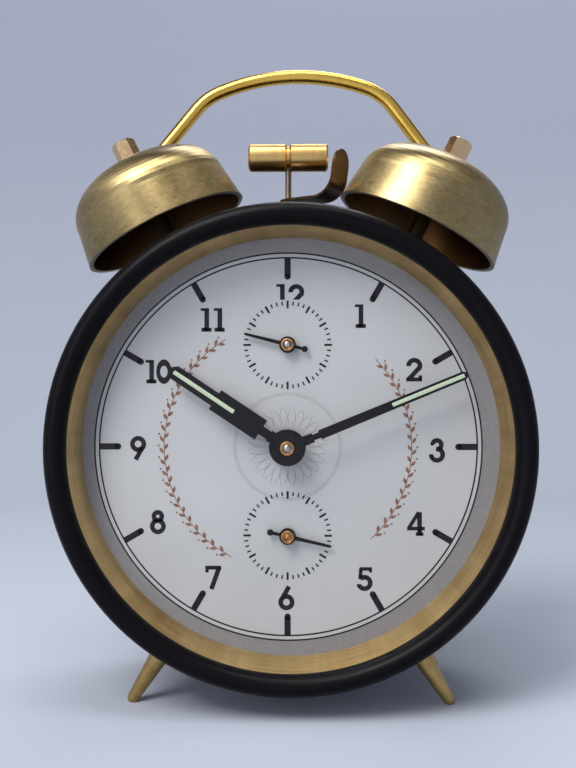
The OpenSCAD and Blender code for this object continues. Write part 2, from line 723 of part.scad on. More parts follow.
module plate_pillars() color("#b2924f") for (p = PILLARS) at(p) {
    rod(front_back, rear_plate_depth, pillar_radius);
    rod(front_plate_depth - 1.6, rear_back + 1.6, screw_r);
}
module pillar_nuts() color("#a8a8ac") for (p = PILLARS, d = [front_plate_depth - 1.3, rear_back]) at(p)
    translate([0, yd(d + 1.3), 0]) rotate([90, 0, 0]) hex_nut(4.5, 1.3, screw_r + 0.02);
module cover_posts() color("#b2924f") for (p = COVER_POSTS) at(p) difference() {
    union() {
        rod(rear_back, cover_depth, pillar_radius);
        rod(rear_plate_depth, rear_back + 0.1, screw_r);
    }
    rod(cover_back - screw_length - 0.5, cover_back, screw_r + 0.02);
}

// Spirals of half rings, each half turn a little wider than the last
module half_ring(r, strip, lower) difference() {
    circle(r = r + strip / 2);
    circle(r = r - strip / 2);
    translate([-2 * r, lower ? 0 : -2 * r]) square([4 * r, 2 * r]);
}
module spiral(inner, pitch, strip, turns) for (j = [0 : turns - 1]) {
    half_ring(inner + j * pitch, strip, false);
    translate([pitch / 2, 0]) half_ring(inner + (j + 0.5) * pitch, strip, true);
}
module mainspring(great, post, side) {
    last = hub_r + spring_strip + spring_turns * spring_pitch;
    pillar = [abs(post.x - great.x), post.y - great.y];
    slab(spring_layer, spring_width) mirror([side < 0 ? 1 : 0, 0]) {
        spiral(hub_r + spring_strip, spring_pitch, spring_strip, spring_turns);
        difference() {
            union() {
                bar([last, 0], pillar + [-pillar_radius - 0.35, 0], spring_strip);
                translate(pillar) circle(r = pillar_radius + 0.55);
            }
            translate(pillar) circle(r = pillar_radius + 0.1);
        }
    }
}
module time_mainspring() color("#5d6470") at(great_at) mainspring(great_at, PILLARS[0], 1);
module alarm_mainspring() color("#5d6470") at(alarm_great_at)
    mainspring(alarm_great_at, PILLARS[1], -1);

// Winding trains, drawn for the time side and mirrored for the alarm
module great_wheel(phase) {
    slab(great_layer, plate_thick) difference() {
        polygon(wheel_points(great_teeth, great_module, phase));
        circle(r = winder_r + play);
        for (a = [5 : 90 : 275]) translate(12.6 * dir(a)) circle(r = 2.5);
    }
    translate([click_reach * cos(click_dir), 0, click_reach * sin(click_dir)]) {
        rod(great_layer + 0.5, click_layer + 1.4, click_pin);
        rod(click_layer + 1.1, click_layer + 1.4, 1.2);
    }
}
module winder() {
    rod(front_plate_depth - 0.4, key_front + 6, winder_r);
    rod(great_layer - 1.1, great_layer - 0.1, 3);
    slab(click_layer, 1) polygon([for (k = [0 : ratchet_teeth - 1], i = [0, 1])
        (ratchet_r - i * ratchet_step) * dir(360 * k / ratchet_teeth - i * 0.5)]);
    rod(click_layer + 0.9, spring_layer + spring_width + 0.3, hub_r);
    rod(spring_layer + spring_width + 1.2, rear_plate_depth - 0.2, 2.6);
}
module click() slab(click_layer + 0.15, 0.7) difference() {
    p = click_reach * dir(click_dir);
    union() {
        translate(p) circle(r = 1.7);
        polygon([[ratchet_r - 0.88, 0.2], [ratchet_r + 0.05, 0.18], [ratchet_r + 0.9, 1.4],
            p + [1.5, -0.3], p + [-1.2, 0], [ratchet_r - 0.35, 1.4]]);
    }
    translate(p) circle(r = click_pin + play);
}
module key(turn) difference() {
    union() {
        rod(key_front, back_depth, key_hub);
        rotate([0, turn, 0]) linear_extrude(wing_sheet, center = true)
            translate([0, yd(key_front + key_length / 2)]) difference() {
                union() {
                    square([key_width - 2 * wing_radius, 1.2 * wing_radius], center = true);
                    for (s = [-1, 1]) translate([s * (key_width / 2 - wing_radius), 0]) circle(r = wing_radius);
                }
                for (s = [-1, 1]) translate([s * (key_width / 2 - wing_radius), 0]) circle(r = 1.8);
            }
    }
    rod(key_front - 1, key_front + 6.1, winder_r + 0.02);
}
module time_great_wheel() color("#c9a959") at(great_at)
    great_wheel(gap_phase(great_teeth, great_dir + 180));
module time_arbor() color("#9a9a9e") at(great_at) winder();
module time_click() color("#8b8b8f") at(great_at) click();
module time_key() color("#c2a35c") at(great_at) key(key_turn);
module alarm_great_wheel() color("#c9a959") at(alarm_great_at)
    mirror([1, 0, 0]) great_wheel(180 - gap_phase(great_teeth, strike_dir));
module alarm_winding_arbor() color("#9a9a9e") at(alarm_great_at) mirror([1, 0, 0]) winder();
module alarm_click() color("#8b8b8f") at(alarm_great_at) mirror([1, 0, 0]) click();
module alarm_key() color("#c2a35c") at(alarm_great_at) key(-key_turn);

// A wheel with spokes between its rim and its hub
module spoked(rim, hub, bore, arms, width) difference() {
    children();
    difference() {
        circle(r = rim);
        circle(r = hub);
        for (k = [0 : arms - 1]) rotate(k * 360 / arms) translate([0, -width / 2]) square([rim + 1, width]);
    }
    circle(r = bore);
}
module leaves(layer, length, teeth, module_size, phase, bore) slab(layer, length) difference() {
    polygon(leaf_points(teeth, module_size, phase));
    if (bore > 0) circle(r = bore);
}
// Points of a wheel with pointed teeth
function spike_points(teeth, tip_r, root_r, tip_half, phase) = [for (k = [0 : teeth - 1], i = [0 : 3])
    [root_r, tip_r, tip_r, root_r][i] * dir(phase + 360 * k / teeth + [-72 / teeth, -tip_half, tip_half, 72 / teeth][i])];

module centre_arbor() color("#a5a5aa") at(centre_at) {
    rod(3.2, key_front + knob_height - 1, centre_r);
    rod(front_back + 0.3, centre_layer - 0.1, 2);
    rod(great_layer + 1.8, great_layer + 2.6, 2);
}
module centre_wheel() color("#c9a959") at(centre_at) {
    slab(centre_layer, 1) spoked(13.6, 4.2, centre_r + play, 5, 1.8)
        polygon(wheel_points(centre_teeth, centre_module, gap_phase(centre_teeth, third_dir)));
    slab(centre_layer + 0.9, great_layer - centre_layer + 0.7) difference() {
        polygon(leaf_points(centre_leaves, great_module, great_dir));
        circle(r = centre_r + play);
    }
}
module third_wheel() color("#c9a959") at(third_at) slab(third_layer, 0.8)
    spoked(11.6, 2.6, arbor_r + 0.02, 5, 1.6)
        polygon(wheel_points(third_teeth, third_module, gap_phase(third_teeth, fourth_dir)));
module third_pinion() color("#9a9a9e") at(third_at) {
    rod(front_plate_depth + 0.1, rear_back - 0.1, pivot_r);
    rod(front_back + 0.2, rear_plate_depth - 0.2, arbor_r);
    leaves(centre_layer - 0.4, 1.8, third_leaves, centre_module, third_dir + 180, 0);
}
module fourth_wheel() color("#c9a959") at(fourth_at) slab(fourth_layer, 0.8)
    spoked(9.6, 2.6, fourth_arbor + 0.02, 4, 1.5)
        polygon(wheel_points(fourth_teeth, fourth_module, gap_phase(fourth_teeth, escape_dir)));
module fourth_pinion() color("#9a9a9e") at(fourth_at) {
    rod(small_depth - 0.6, rear_back - 0.1, pivot_r);
    rod(front_back + 0.2, rear_plate_depth - 0.2, fourth_arbor);
    leaves(third_layer - 0.5, 1.6, fourth_leaves, third_module, fourth_dir + 180, 0);
}
module escape_wheel() color("#c9a959") at(escape_at) slab(escape_layer, 0.8)
    spoked(3.9, 1.7, arbor_r + 0.02, 4, 0.9)
        polygon(spike_points(15, escape_tip, 5, 1, 12));
module escape_pinion() color("#9a9a9e") at(escape_at) {
    rod(front_plate_depth + 0.1, rear_back - 0.1, thin_r);
    rod(front_back + 0.2, rear_plate_depth - 0.2, arbor_r);
    leaves(fourth_layer - 0.4, 1.6, escape_leaves, fourth_module, escape_dir + 180, 0);
}
module pallet_lever() color("#9a9a9e") at(pallet_at) {
    rod(front_plate_depth + 0.1, rear_back - 0.1, thin_r);
    rod(front_back + 0.2, rear_plate_depth - 0.2, arbor_r);
    slab(fork_layer, 0.8) difference() {
        union() {
            circle(r = 1.7);
            for (p = pin_places(escape_tip + fork_pin + pin_gap, fork_span, 0, pallet_reach)) bar([0, 0], p, 1);
            rotate(fork_dir) polygon([[0, -0.8], [7.4, -0.5], [8.9, -1], [8.9, 1], [7.4, 0.5], [0, 0.8]]);
        }
        rotate(fork_dir) polygon([[8.5, 0], [9, -0.5], [9, 0.5]]);
    }
    for (p = pin_places(escape_tip + fork_pin + pin_gap, fork_span, 0, pallet_reach))
        translate([p.x, 0, p.y]) rod(escape_layer - 0.2, fork_layer + 0.1, fork_pin);
}
module balance_wheel() color("#c9a959") at(balance_at) {
    rod(front_plate_depth + 0.1, rear_back + 0.3, thin_r);
    rod(front_back + 0.2, rear_plate_depth - 0.2, arbor_r);
    slab(balance_layer, 1.5) spoked(balance_radius - 1.4, 1.7, arbor_r - 0.1, 2, 1.4) circle(r = balance_radius);
    rod(balance_layer + 3, balance_layer + 3.6, 2.6);
    translate([-2.2 * cos(fork_dir), 0, -2.2 * sin(fork_dir)]) rod(balance_layer + 3.5, fork_layer + 1.6, 0.3);
    rod(hair_layer - 0.2, hair_layer + 0.8, hair_inner - 0.3);
}
module hairspring() color("#4f5b78") at(balance_at) {
    slab(hair_layer, hair_width) spiral(hair_inner, hair_pitch, hair_strip, hair_turns);
    translate([hair_inner + hair_turns * hair_pitch + 0.45, 0, 0]) rod(hair_layer - 0.1, rear_plate_depth, 0.5);
}
module strike_wheel() color("#c9a959") at(strike_at) slab(strike_layer, 1)
    spoked(3.6, 1.9, arbor_r + 0.02, 4, 1)
        polygon(spike_points(12, strike_tip, 4.6, 1.2, hammer_dir + 15));
module strike_pinion() color("#9a9a9e") at(strike_at) {
    rod(front_plate_depth + 0.1, rear_back - 0.1, pivot_r);
    rod(front_back + 0.2, rear_plate_depth - 0.2, arbor_r);
    leaves(great_layer - 0.4, 2, strike_leaves, great_module, strike_dir + 180, 0);
}

// Motion work and hands
module cannon_pinion() color("#b2924f") at(centre_at) {
    difference() {
        rod(minute_depth - 0.4, minute_layer + 0.1, cannon_outer);
        rod(minute_depth - 1, minute_layer + 2, centre_r + 0.02);
    }
    leaves(minute_layer - 0.4, 1.6, cannon_leaves, cannon_module, minute_dir, centre_r + 0.02);
}
module minute_wheel() color("#c9a959") at(minute_at) {
    slab(minute_layer, 0.8) difference() {
        polygon(wheel_points(minute_teeth, cannon_module, gap_phase(minute_teeth, minute_dir + 180)));
        circle(r = minute_stud + play);
        for (a = [0 : 60 : 300]) translate(6 * dir(a)) circle(r = 1.6);
    }
    leaves(hour_layer - 0.2, minute_layer - hour_layer + 0.3, minute_leaves, hour_module, minute_dir + 180,
        minute_stud + play);
}
module hour_wheel() color("#c9a959") at(centre_at) {
    slab(hour_layer, 1) difference() {
        polygon(wheel_points(hour_teeth, hour_module, hour_phase));
        circle(r = cannon_outer + play);
    }
    difference() {
        rod(hour_depth - 0.2, hour_layer + 0.1, hour_pipe);
        rod(hour_depth - 1, hour_layer + 1, cannon_outer + play);
    }
}
module hand_slab(d, angle) slab(d, hand_sheet) rotate(-angle) children();
function mirrored(points) = concat(points, [for (i = [len(points) - 1 : -1 : 0]) [-points[i].x, points[i].y]]);
module minute_hand() color("#131315") at(centre_at) difference() {
    union() {
        hand_slab(minute_depth, minute_angle) difference() {
            union() {
                circle(r = 4);
                polygon(mirrored([[1.2, 2], [1.2, 7], [0.75, 7], [0.75, 8.8], [1.2, 8.8],
                    [1.07, minute_length - 1], [0.35, minute_length]]));
            }
            translate([-0.5, minute_slot_start]) square([1, minute_length - 1 - minute_slot_start]);
        }
        rod(minute_depth + hand_sheet - 0.1, minute_depth + 1.2, 2.6);
    }
    rod(minute_depth - 1, minute_depth + 2, cannon_outer + 0.02);
}
module hour_hand() color("#131315") at(centre_at) difference() {
    union() {
        hand_slab(hour_depth, hour_angle) difference() {
            union() {
                circle(r = 4.6);
                polygon(mirrored([[1.5, 3], [1.5, 5.5], [1.15, 5.5], [1.15, 7.9], [2.85, 7.9], [2.85, 21.75],
                    [1.84, 21.75], [1.84, hour_length - 1.8], [0.3, hour_length]]));
            }
            translate([-0.52, hour_slot_start]) square([1.04, hour_length - 1.6 - hour_slot_start]);
        }
        rod(hour_depth + hand_sheet - 0.1, hour_depth + 1.4, 3.3);
    }
    rod(hour_depth - 1, hour_depth + 2, hour_pipe + 0.02);
}
module small_hand(angle, bore) difference() {
    union() {
        hand_slab(small_depth, angle) union() {
            circle(r = 2.1);
            polygon(mirrored([[0.5, 1], [0.34, small_length - 0.5], [0.15, small_length]]));
            polygon(mirrored([[0.4, -1], [0.4, -4.5]]));
            translate([0, -4.5]) circle(r = 0.8);
        }
        rod(small_depth + hand_sheet - 0.1, small_depth + 1.2, bore + 0.7);
    }
    rod(small_depth - 1, small_depth + 2, bore);
}
module seconds_hand() color("#131315") at(fourth_at) small_hand(seconds_angle, pivot_r + 0.02);
module alarm_hand() color("#131315") at(alarm_at) small_hand(alarm_angle, alarm_r + 0.02);

// Setting the hands, the alarm and the rate
module knob() difference() {
    rod(key_front, key_front + knob_height, knob_radius);
    rod(key_front - 1, key_front + knob_height - 0.9, centre_r + 0.02);
    for (a = [0 : 20 : 340]) translate([knob_radius * cos(a), 0, knob_radius * sin(a)])
        rod(key_front + 1, key_front + knob_height + 1, 0.4);
}
module set_knob() color("#c2a35c") at(centre_at) knob();
module alarm_knob() color("#c2a35c") at(alarm_at) knob();
module alarm_set_arbor() color("#a5a5aa") at(alarm_at) {
    rod(small_depth - 0.8, key_front + knob_height - 1, alarm_r);
    rod(dial_back + 0.5, hour_layer - 0.1, 1.9);
    rod(letoff_depth + letoff_sheet + 0.3, front_plate_depth - 0.4, 1.8);
}
module alarm_wheel() color("#c9a959") at(alarm_at) slab(hour_layer, 1) difference() {
    polygon(wheel_points(alarm_teeth, hour_module, alarm_phase));
    circle(r = alarm_r + play);
    for (a = [30 : 60 : 330]) translate(6.5 * dir(a)) circle(r = 1.5);
}
module letoff_spring() color("#5d6470") at(centre_at) slab(letoff_depth, letoff_sheet) difference() {
    union() {
        translate(letoff_at) circle(r = 2.6);
        bar(letoff_at, alarm_at, 4);
        translate(alarm_at) circle(r = 3);
    }
    translate(letoff_at) circle(r = 1.05);
    translate(alarm_at) circle(r = alarm_r + 0.4);
    translate(alarm_at) rotate(bearing(letoff_at, alarm_at)) translate([0, -alarm_r - 0.4]) square([4, 2 * alarm_r + 0.8]);
}
module regulator() color("#c2a35c") at(balance_at) {
    slab(rear_back + 0.1, 0.8) difference() {
        union() {
            circle(r = 3.6);
            rotate(index_dir) translate([0, -0.8]) square([index_reach, 1.6]);
            rotate(index_dir + 180) translate([0, -0.7]) square([hair_outer, 1.4]);
            rotate(index_dir) translate([index_reach, 0]) circle(r = 1.5);
        }
        circle(r = 2);
    }
    rotate([0, -index_dir, 0]) {
        translate([index_reach, 0, 0]) rod(rear_back + 0.8, key_front + 0.6, index_pin);
        translate([index_reach, 0, 0]) rod(cover_back + 0.6, key_front + 0.6, index_pin + 0.5);
        translate([-hair_outer + 0.1, 0, 0]) rod(hair_layer - 0.2, rear_back + 0.2, 0.2);
    }
}

case_drum();
front_bezel();
glass();
reflector_ring();
dial();
back_cover();
cover_screws();
feet();
left_bell();
right_bell();
bell_posts();
bell_nuts();
handle();
case_nuts();
lever_post();
stop_lever();
hammer_head();
hammer_rod();
hammer_arbor();
front_plate();
rear_plate();
plate_pillars();
pillar_nuts();
cover_posts();
time_mainspring();
alarm_mainspring();
time_great_wheel();
time_arbor();
time_click();
time_key();
alarm_great_wheel();
alarm_winding_arbor();
alarm_click();
alarm_key();
centre_arbor();
centre_wheel();
cannon_pinion();
minute_wheel();
hour_wheel();
minute_hand();
hour_hand();
third_wheel();
third_pinion();
fourth_wheel();
fourth_pinion();
seconds_hand();
escape_wheel();
escape_pinion();
pallet_lever();
balance_wheel();
hairspring();
regulator();
strike_wheel();
strike_pinion();
alarm_set_arbor();
alarm_wheel();
alarm_hand();
alarm_knob();
set_knob();
letoff_spring();
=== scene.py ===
import json
import math

import bmesh
import bpy
from mathutils import Matrix, Vector


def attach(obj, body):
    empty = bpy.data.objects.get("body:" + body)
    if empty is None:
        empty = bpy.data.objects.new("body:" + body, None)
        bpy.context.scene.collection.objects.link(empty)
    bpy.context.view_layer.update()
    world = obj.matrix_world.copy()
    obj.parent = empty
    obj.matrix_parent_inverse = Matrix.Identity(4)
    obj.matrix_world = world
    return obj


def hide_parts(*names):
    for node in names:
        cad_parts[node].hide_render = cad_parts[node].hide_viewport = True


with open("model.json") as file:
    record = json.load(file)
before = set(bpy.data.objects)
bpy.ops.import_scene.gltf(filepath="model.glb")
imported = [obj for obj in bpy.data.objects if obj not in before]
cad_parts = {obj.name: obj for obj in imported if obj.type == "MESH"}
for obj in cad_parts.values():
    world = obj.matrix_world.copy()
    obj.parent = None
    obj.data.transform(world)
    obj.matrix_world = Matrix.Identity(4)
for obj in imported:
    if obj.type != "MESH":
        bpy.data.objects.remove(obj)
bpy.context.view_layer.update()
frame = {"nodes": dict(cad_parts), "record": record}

# Lengths are in millimetres, and depths run from the bezel's widest plane to the rear. The stage, the
# lamps, the camera and the middles of the bells are in metres, and finishes are scaled per metre
MM = 0.001
TO_MM = 1000.0
AXIS_HEIGHT = 66.2      # of the dial centre above the table
CASE_MIDDLE = 32.5      # depth that lies at y = 0
MOVEMENT_X = -0.7       # the dial and the movement sit a little left in the case
DIAL_DEPTH = 10.0
BAND_START = 49.5       # radius at which the grey band of the dial begins
SECONDS = (0.0, 25.9)
ALARM = (0.0, -22.65)
MINUTE_ANGLE, HOUR_ANGLE = 67.6, 303.7
MERGE = 0.0001          # points of one piece that are closer than this become one

# Middle of the right bell's rim
BELL = (33.857 * MM, (25 - CASE_MIDDLE) * MM, (AXIS_HEIGHT + 56.974) * MM)
BELL_TILT = math.radians(26.5)
BELL_RADIUS, BELL_HEIGHT, BELL_SKIRT, BELL_TAPER = 22.9, 21.0, 9.5, 1.4
BELL_SHOULDER = 0.75    # power of the cosine that rounds the shoulder
BELL_INSIDE = 0.65      # how far within the outer surface the inner wall begins
BELL_EDGE = 0.12        # height up to which the rim takes half of the painted shade of the inner wall


def paint(red, green, blue):
    """A colour as it is seen on a screen, turned into the linear colour that a shader takes."""
    def linear(v):
        v /= 255
        return v / 12.92 if v <= 0.04045 else ((v + 0.055) / 1.055) ** 2.4
    return (linear(red), linear(green), linear(blue), 1)


def darker(colour, share):
    """A colour with only a share of its light."""
    return [channel * share for channel in colour[:3]] + [1]


# Shader maths

class Value:
    """A socket in a finish's node tree that can be added, multiplied and so on."""

    def __init__(self, finish, socket):
        self.finish, self.socket = finish, socket

    def math(self, operation, other=None, swap=False, clamp=False):
        terms = [self] if other is None else [self, other]
        if swap:
            terms.reverse()
        return self.finish.node("ShaderNodeMath", {"operation": operation, "use_clamp": clamp}, *terms)

    def __add__(self, other):
        return self.math("ADD", other)

    __radd__ = __add__

    def __sub__(self, other):
        return self.math("SUBTRACT", other)

    def __rsub__(self, other):
        return self.math("SUBTRACT", other, swap=True)

    def __mul__(self, other):
        return self.math("MULTIPLY", other)

    __rmul__ = __mul__

    def __truediv__(self, other):
        return self.math("DIVIDE", other)

    def __pow__(self, other):
        return self.math("POWER", other)

    def __gt__(self, other):
        return self.math("GREATER_THAN", other)

    def __lt__(self, other):
        return self.math("LESS_THAN", other)

    def clamp(self):
        return self.math("ADD", 0.0, clamp=True)


class Finish:
    """A material with one Principled shader and the nodes that vary it over the surface."""

    MIX_INPUTS = (0, 6, 7)      # factor and both colours among the sockets of a Mix node
    MIX_OUTPUT = 2

    def __init__(self, name, color=(0.5, 0.5, 0.5, 1), **constants):
        self.material = bpy.data.materials.new(name)
        self.material.use_nodes = True
        self.tree = self.material.node_tree
        self.shader = self.tree.nodes["Principled BSDF"]
        self.output = self.tree.nodes["Material Output"]
        self.set(Base_Color=color, **constants)
        self._place = None

    def set(self, **sockets):
        for name, value in sockets.items():
            socket = self.shader.inputs[name.replace("_", " ")]
            if isinstance(value, Value):
                self.tree.links.new(value.socket, socket)
            else:
                socket.default_value = value
        return self

    def node(self, kind, settings=None, *values, out=0, **named):
        node = self.tree.nodes.new(kind)
        for key, value in (settings or {}).items():
            setattr(node, key, value)
        pairs = list(zip(node.inputs, values))
        pairs += [(node.inputs[key.replace("_", " ")], value) for key, value in named.items()]
        for socket, value in pairs:
            if isinstance(value, Value):
                self.tree.links.new(value.socket, socket)
            elif value is not None:
                socket.default_value = value
        return Value(self, node.outputs[out])

    @property
    def place(self):
        if self._place is None:
            self._place = self.node("ShaderNodeTexCoord", out="Object")
        return self._place

    def mapped(self, scale=(1, 1, 1), location=(0, 0, 0), rotation=(0, 0, 0), kind="POINT"):
        return self.node("ShaderNodeMapping", {"vector_type": kind}, self.place,
                         Location=location, Rotation=rotation, Scale=scale)

    def noise(self, vector, scale, detail=2.0, roughness=0.5):
        return self.node("ShaderNodeTexNoise", {"noise_dimensions": "3D"}, Vector=vector, Scale=scale,
                         Detail=detail, Roughness=roughness)

    def spread(self, value, low, high, to_low=0.0, to_high=1.0):
        return self.node("ShaderNodeMapRange", {"clamp": True}, value, low, high, to_low, to_high)

    def between(self, factor, first, second):
        """A colour between two others; each may be a tuple or a colour from another node."""
        node = self.tree.nodes.new("ShaderNodeMix")
        node.data_type = "RGBA"
        for index, value in zip(self.MIX_INPUTS, (factor, first, second)):
            if isinstance(value, Value):
                self.tree.links.new(value.socket, node.inputs[index])
            else:
                node.inputs[index].default_value = value
        return Value(self, node.outputs[self.MIX_OUTPUT])

    def bump(self, height, distance, strength):
        normal = self.node("ShaderNodeBump", Height=height, Distance=distance, Strength=strength)
        return self.set(Normal=normal)

    def parts(self, vector):
        node = self.tree.nodes.new("ShaderNodeSeparateXYZ")
        self.tree.links.new(vector.socket, node.inputs[0])
        return [Value(self, s) for s in node.outputs]

    def vector(self, x, y, z):
        return self.node("ShaderNodeCombineXYZ", None, x, y, z)


# Finishes

def enamel():
    """Satin black stove enamel with a faint orange peel and a little dust in the finish."""
    f = Finish("black_enamel", paint(8, 6, 9), Roughness=0.36, Specular_IOR_Level=0.08)
    f.set(Roughness=f.spread(f.noise(f.place, 60, 3), 0.3, 0.7, 0.31, 0.42))
    dust = f.spread(f.noise(f.place, 900, 2), 0.66, 0.78)
    f.set(Base_Color=f.between(dust, paint(9, 7, 10), paint(16, 14, 18)))
    return f.bump(f.noise(f.place, 700, 2), 0.000015, 0.4)


def hand_paint():
    """Half gloss black on the stamped hands, greyer where the light catches its grain."""
    f = Finish("hand_paint", paint(12, 10, 13), Roughness=0.35, Specular_IOR_Level=0.2)
    grain = f.noise(f.place, 1400, 3)
    f.set(Base_Color=f.between(f.spread(grain, 0.35, 0.75), paint(9, 7, 10), paint(20, 17, 21)),
          Roughness=f.spread(f.noise(f.place, 150, 2), 0.3, 0.7, 0.28, 0.42))
    return f.bump(grain, 0.00001, 0.6)


def bell_inside_shade(out, height):
    """1 on the inner wall of a bell, where shade is painted, 0.5 on its rim, which takes half of it, and 0 on
    the outer wall.
    """
    rise = ((height - BELL_SKIRT) / (BELL_HEIGHT - BELL_SKIRT)).clamp()
    skirt = BELL_RADIUS - BELL_TAPER * (height / BELL_SKIRT).clamp()
    wall = skirt * (1.0 - rise * rise) ** (BELL_SHOULDER / 2)
    rim = (height < BELL_EDGE) * 0.5
    return (((wall - out) > BELL_INSIDE) + rim).clamp()


def bell_brass(name, centre, tilt):
    """Brass brushed on the lathe: fine rings round the bell's own axis under a thin patina, and painted shade
    on the inner wall.
    """
    f = Finish(name, BELL_LIGHT, Metallic=1.0, Roughness=0.38, Anisotropic=0.7)
    x, y, z = f.parts(f.mapped(location=centre, rotation=(0, tilt, 0), kind="TEXTURE"))
    out = (x * x + y * y).math("SQRT")
    around = y.math("ARCTAN2", x)
    lines = f.noise(f.vector(out, around * 0.003, z), 5200, 2, 0.6)
    wide = f.noise(f.vector(out, around * 0.006, z), 900, 2, 0.6)
    cloud = f.noise(f.place, 40, 3, 0.55)
    tone = lines * 0.35 + wide * 0.2 + cloud * 0.45
    colour = f.between(f.spread(tone, 0.38, 0.64), BELL_DARK, BELL_LIGHT)
    stain = f.spread(f.noise(f.place, 260, 4, 0.65), 0.66, 0.8) * 0.22
    colour = f.between(stain, colour, darker(BELL_DARK, 0.5))
    # Painted shade: the inner wall of the bell is painted dark brown, and the rim half as dark
    colour = f.between(bell_inside_shade(out * TO_MM, z * TO_MM), colour, paint(92, 66, 40))
    f.set(Base_Color=colour, Roughness=f.spread(lines * 0.5 + cloud * 0.5, 0.35, 0.65, 0.27, 0.38))
    return f.bump(lines + wide * 0.4, 0.000012, 0.5)


def metal(name, dark, light, rough=(0.18, 0.3), grain=(300, 300, 300), cloud=70, bump=0.00001, pits=0.0):
    """A metal with a drawn or polished grain, clouded tone and, where asked, small dark pits."""
    f = Finish(name, light, Metallic=1.0, Roughness=rough[0])
    lines = f.noise(f.mapped(scale=grain), 5.0, 3, 0.55)
    clouds = f.noise(f.place, cloud, 3, 0.6)
    colour = f.between(f.spread(clouds * 0.65 + lines * 0.35, 0.35, 0.65), dark, light)
    if pits:
        specks = f.spread(f.noise(f.place, 900, 2), 0.66, 0.74)
        colour = f.between(specks * pits, colour, darker(dark, 0.3))
    f.set(Base_Color=colour, Roughness=f.spread(lines * 0.6 + clouds * 0.4, 0.35, 0.65, *rough))
    return f.bump(lines, bump, 0.5)


def ring_brass():
    """Satin brass of the ring between glass and dial, brushed round the axis of the case."""
    f = Finish("ring_brass", paint(206, 184, 128), Metallic=1.0, Roughness=0.4)
    x, y, z = f.parts(f.mapped(location=(0, 0, AXIS_HEIGHT * MM), kind="TEXTURE"))
    out = (x * x + z * z).math("SQRT")
    around = z.math("ARCTAN2", x)
    lines = f.noise(f.vector(out, around * 0.002, y), 2600, 3, 0.6)
    streaks = f.noise(f.vector(out * 0.2, around * 0.12, y * 0.2), 60, 3, 0.6)
    f.set(Base_Color=f.between(f.spread(lines * 0.5 + streaks * 0.5, 0.35, 0.65),
                               paint(188, 154, 98), paint(230, 200, 142)),
          Roughness=f.spread(lines, 0.3, 0.7, 0.36, 0.5))
    return f.bump(lines, 0.000012, 0.5)


def dial_paint():
    """Cool white dial lacquer, with a silver grey band printed outside the track."""
    f = Finish("dial_paint", paint(205, 207, 214), Roughness=0.5)
    x, y, z = f.parts(f.mapped(location=(MOVEMENT_X * MM, 0, AXIS_HEIGHT * MM), kind="TEXTURE"))
    out = (x * x + z * z).math("SQRT") * TO_MM
    speck = f.noise(f.place, 2600, 2)
    cloud = f.spread(f.noise(f.place, 35, 3), 0.35, 0.65)
    face = f.between(cloud, paint(182, 181, 181), paint(188, 187, 187))
    band = f.between(f.spread(speck, 0.4, 0.6), paint(128, 126, 128), paint(136, 134, 136))
    f.set(Base_Color=f.between(out > BAND_START, face, band), Roughness=f.spread(speck, 0.3, 0.7, 0.42, 0.55))
    return f.bump(speck, 0.000004, 0.4)


def ink(name, dark, light):
    """Printing ink with the slightly uneven cover of a pad print."""
    f = Finish(name, dark, Roughness=0.6, Specular_IOR_Level=0.2)
    f.set(Base_Color=f.between(f.spread(f.noise(f.place, 1800, 3), 0.4, 0.7), dark, light))
    return f.bump(f.noise(f.place, 2600, 2), 0.000003, 0.4)


def luminous():
    """Pale green luminous compound, grainy and a little raised."""
    f = Finish("luminous", paint(192, 205, 172), Roughness=0.7)
    grain = f.noise(f.place, 2200, 3, 0.6)
    f.set(Base_Color=f.between(f.spread(grain, 0.35, 0.7), paint(184, 197, 164), paint(200, 211, 182)))
    return f.bump(grain, 0.00003, 0.6)


def window_glass():
    """Domed glass: clear, with a reflection that grows towards its edge."""
    f = Finish("window_glass")
    tree = f.tree
    clear = tree.nodes.new("ShaderNodeBsdfTransparent")
    clear.inputs["Color"].default_value = (0.985, 0.99, 0.99, 1)
    gloss = tree.nodes.new("ShaderNodeBsdfGlossy")
    gloss.inputs["Roughness"].default_value = 0.02
    rim = f.node("ShaderNodeFresnel", IOR=1.45)
    mix = tree.nodes.new("ShaderNodeMixShader")
    for source, target in zip(((rim * 0.22).socket, clear.outputs[0], gloss.outputs[0]), mix.inputs):
        tree.links.new(source, target)
    tree.links.new(mix.outputs[0], f.output.inputs["Surface"])
    return f


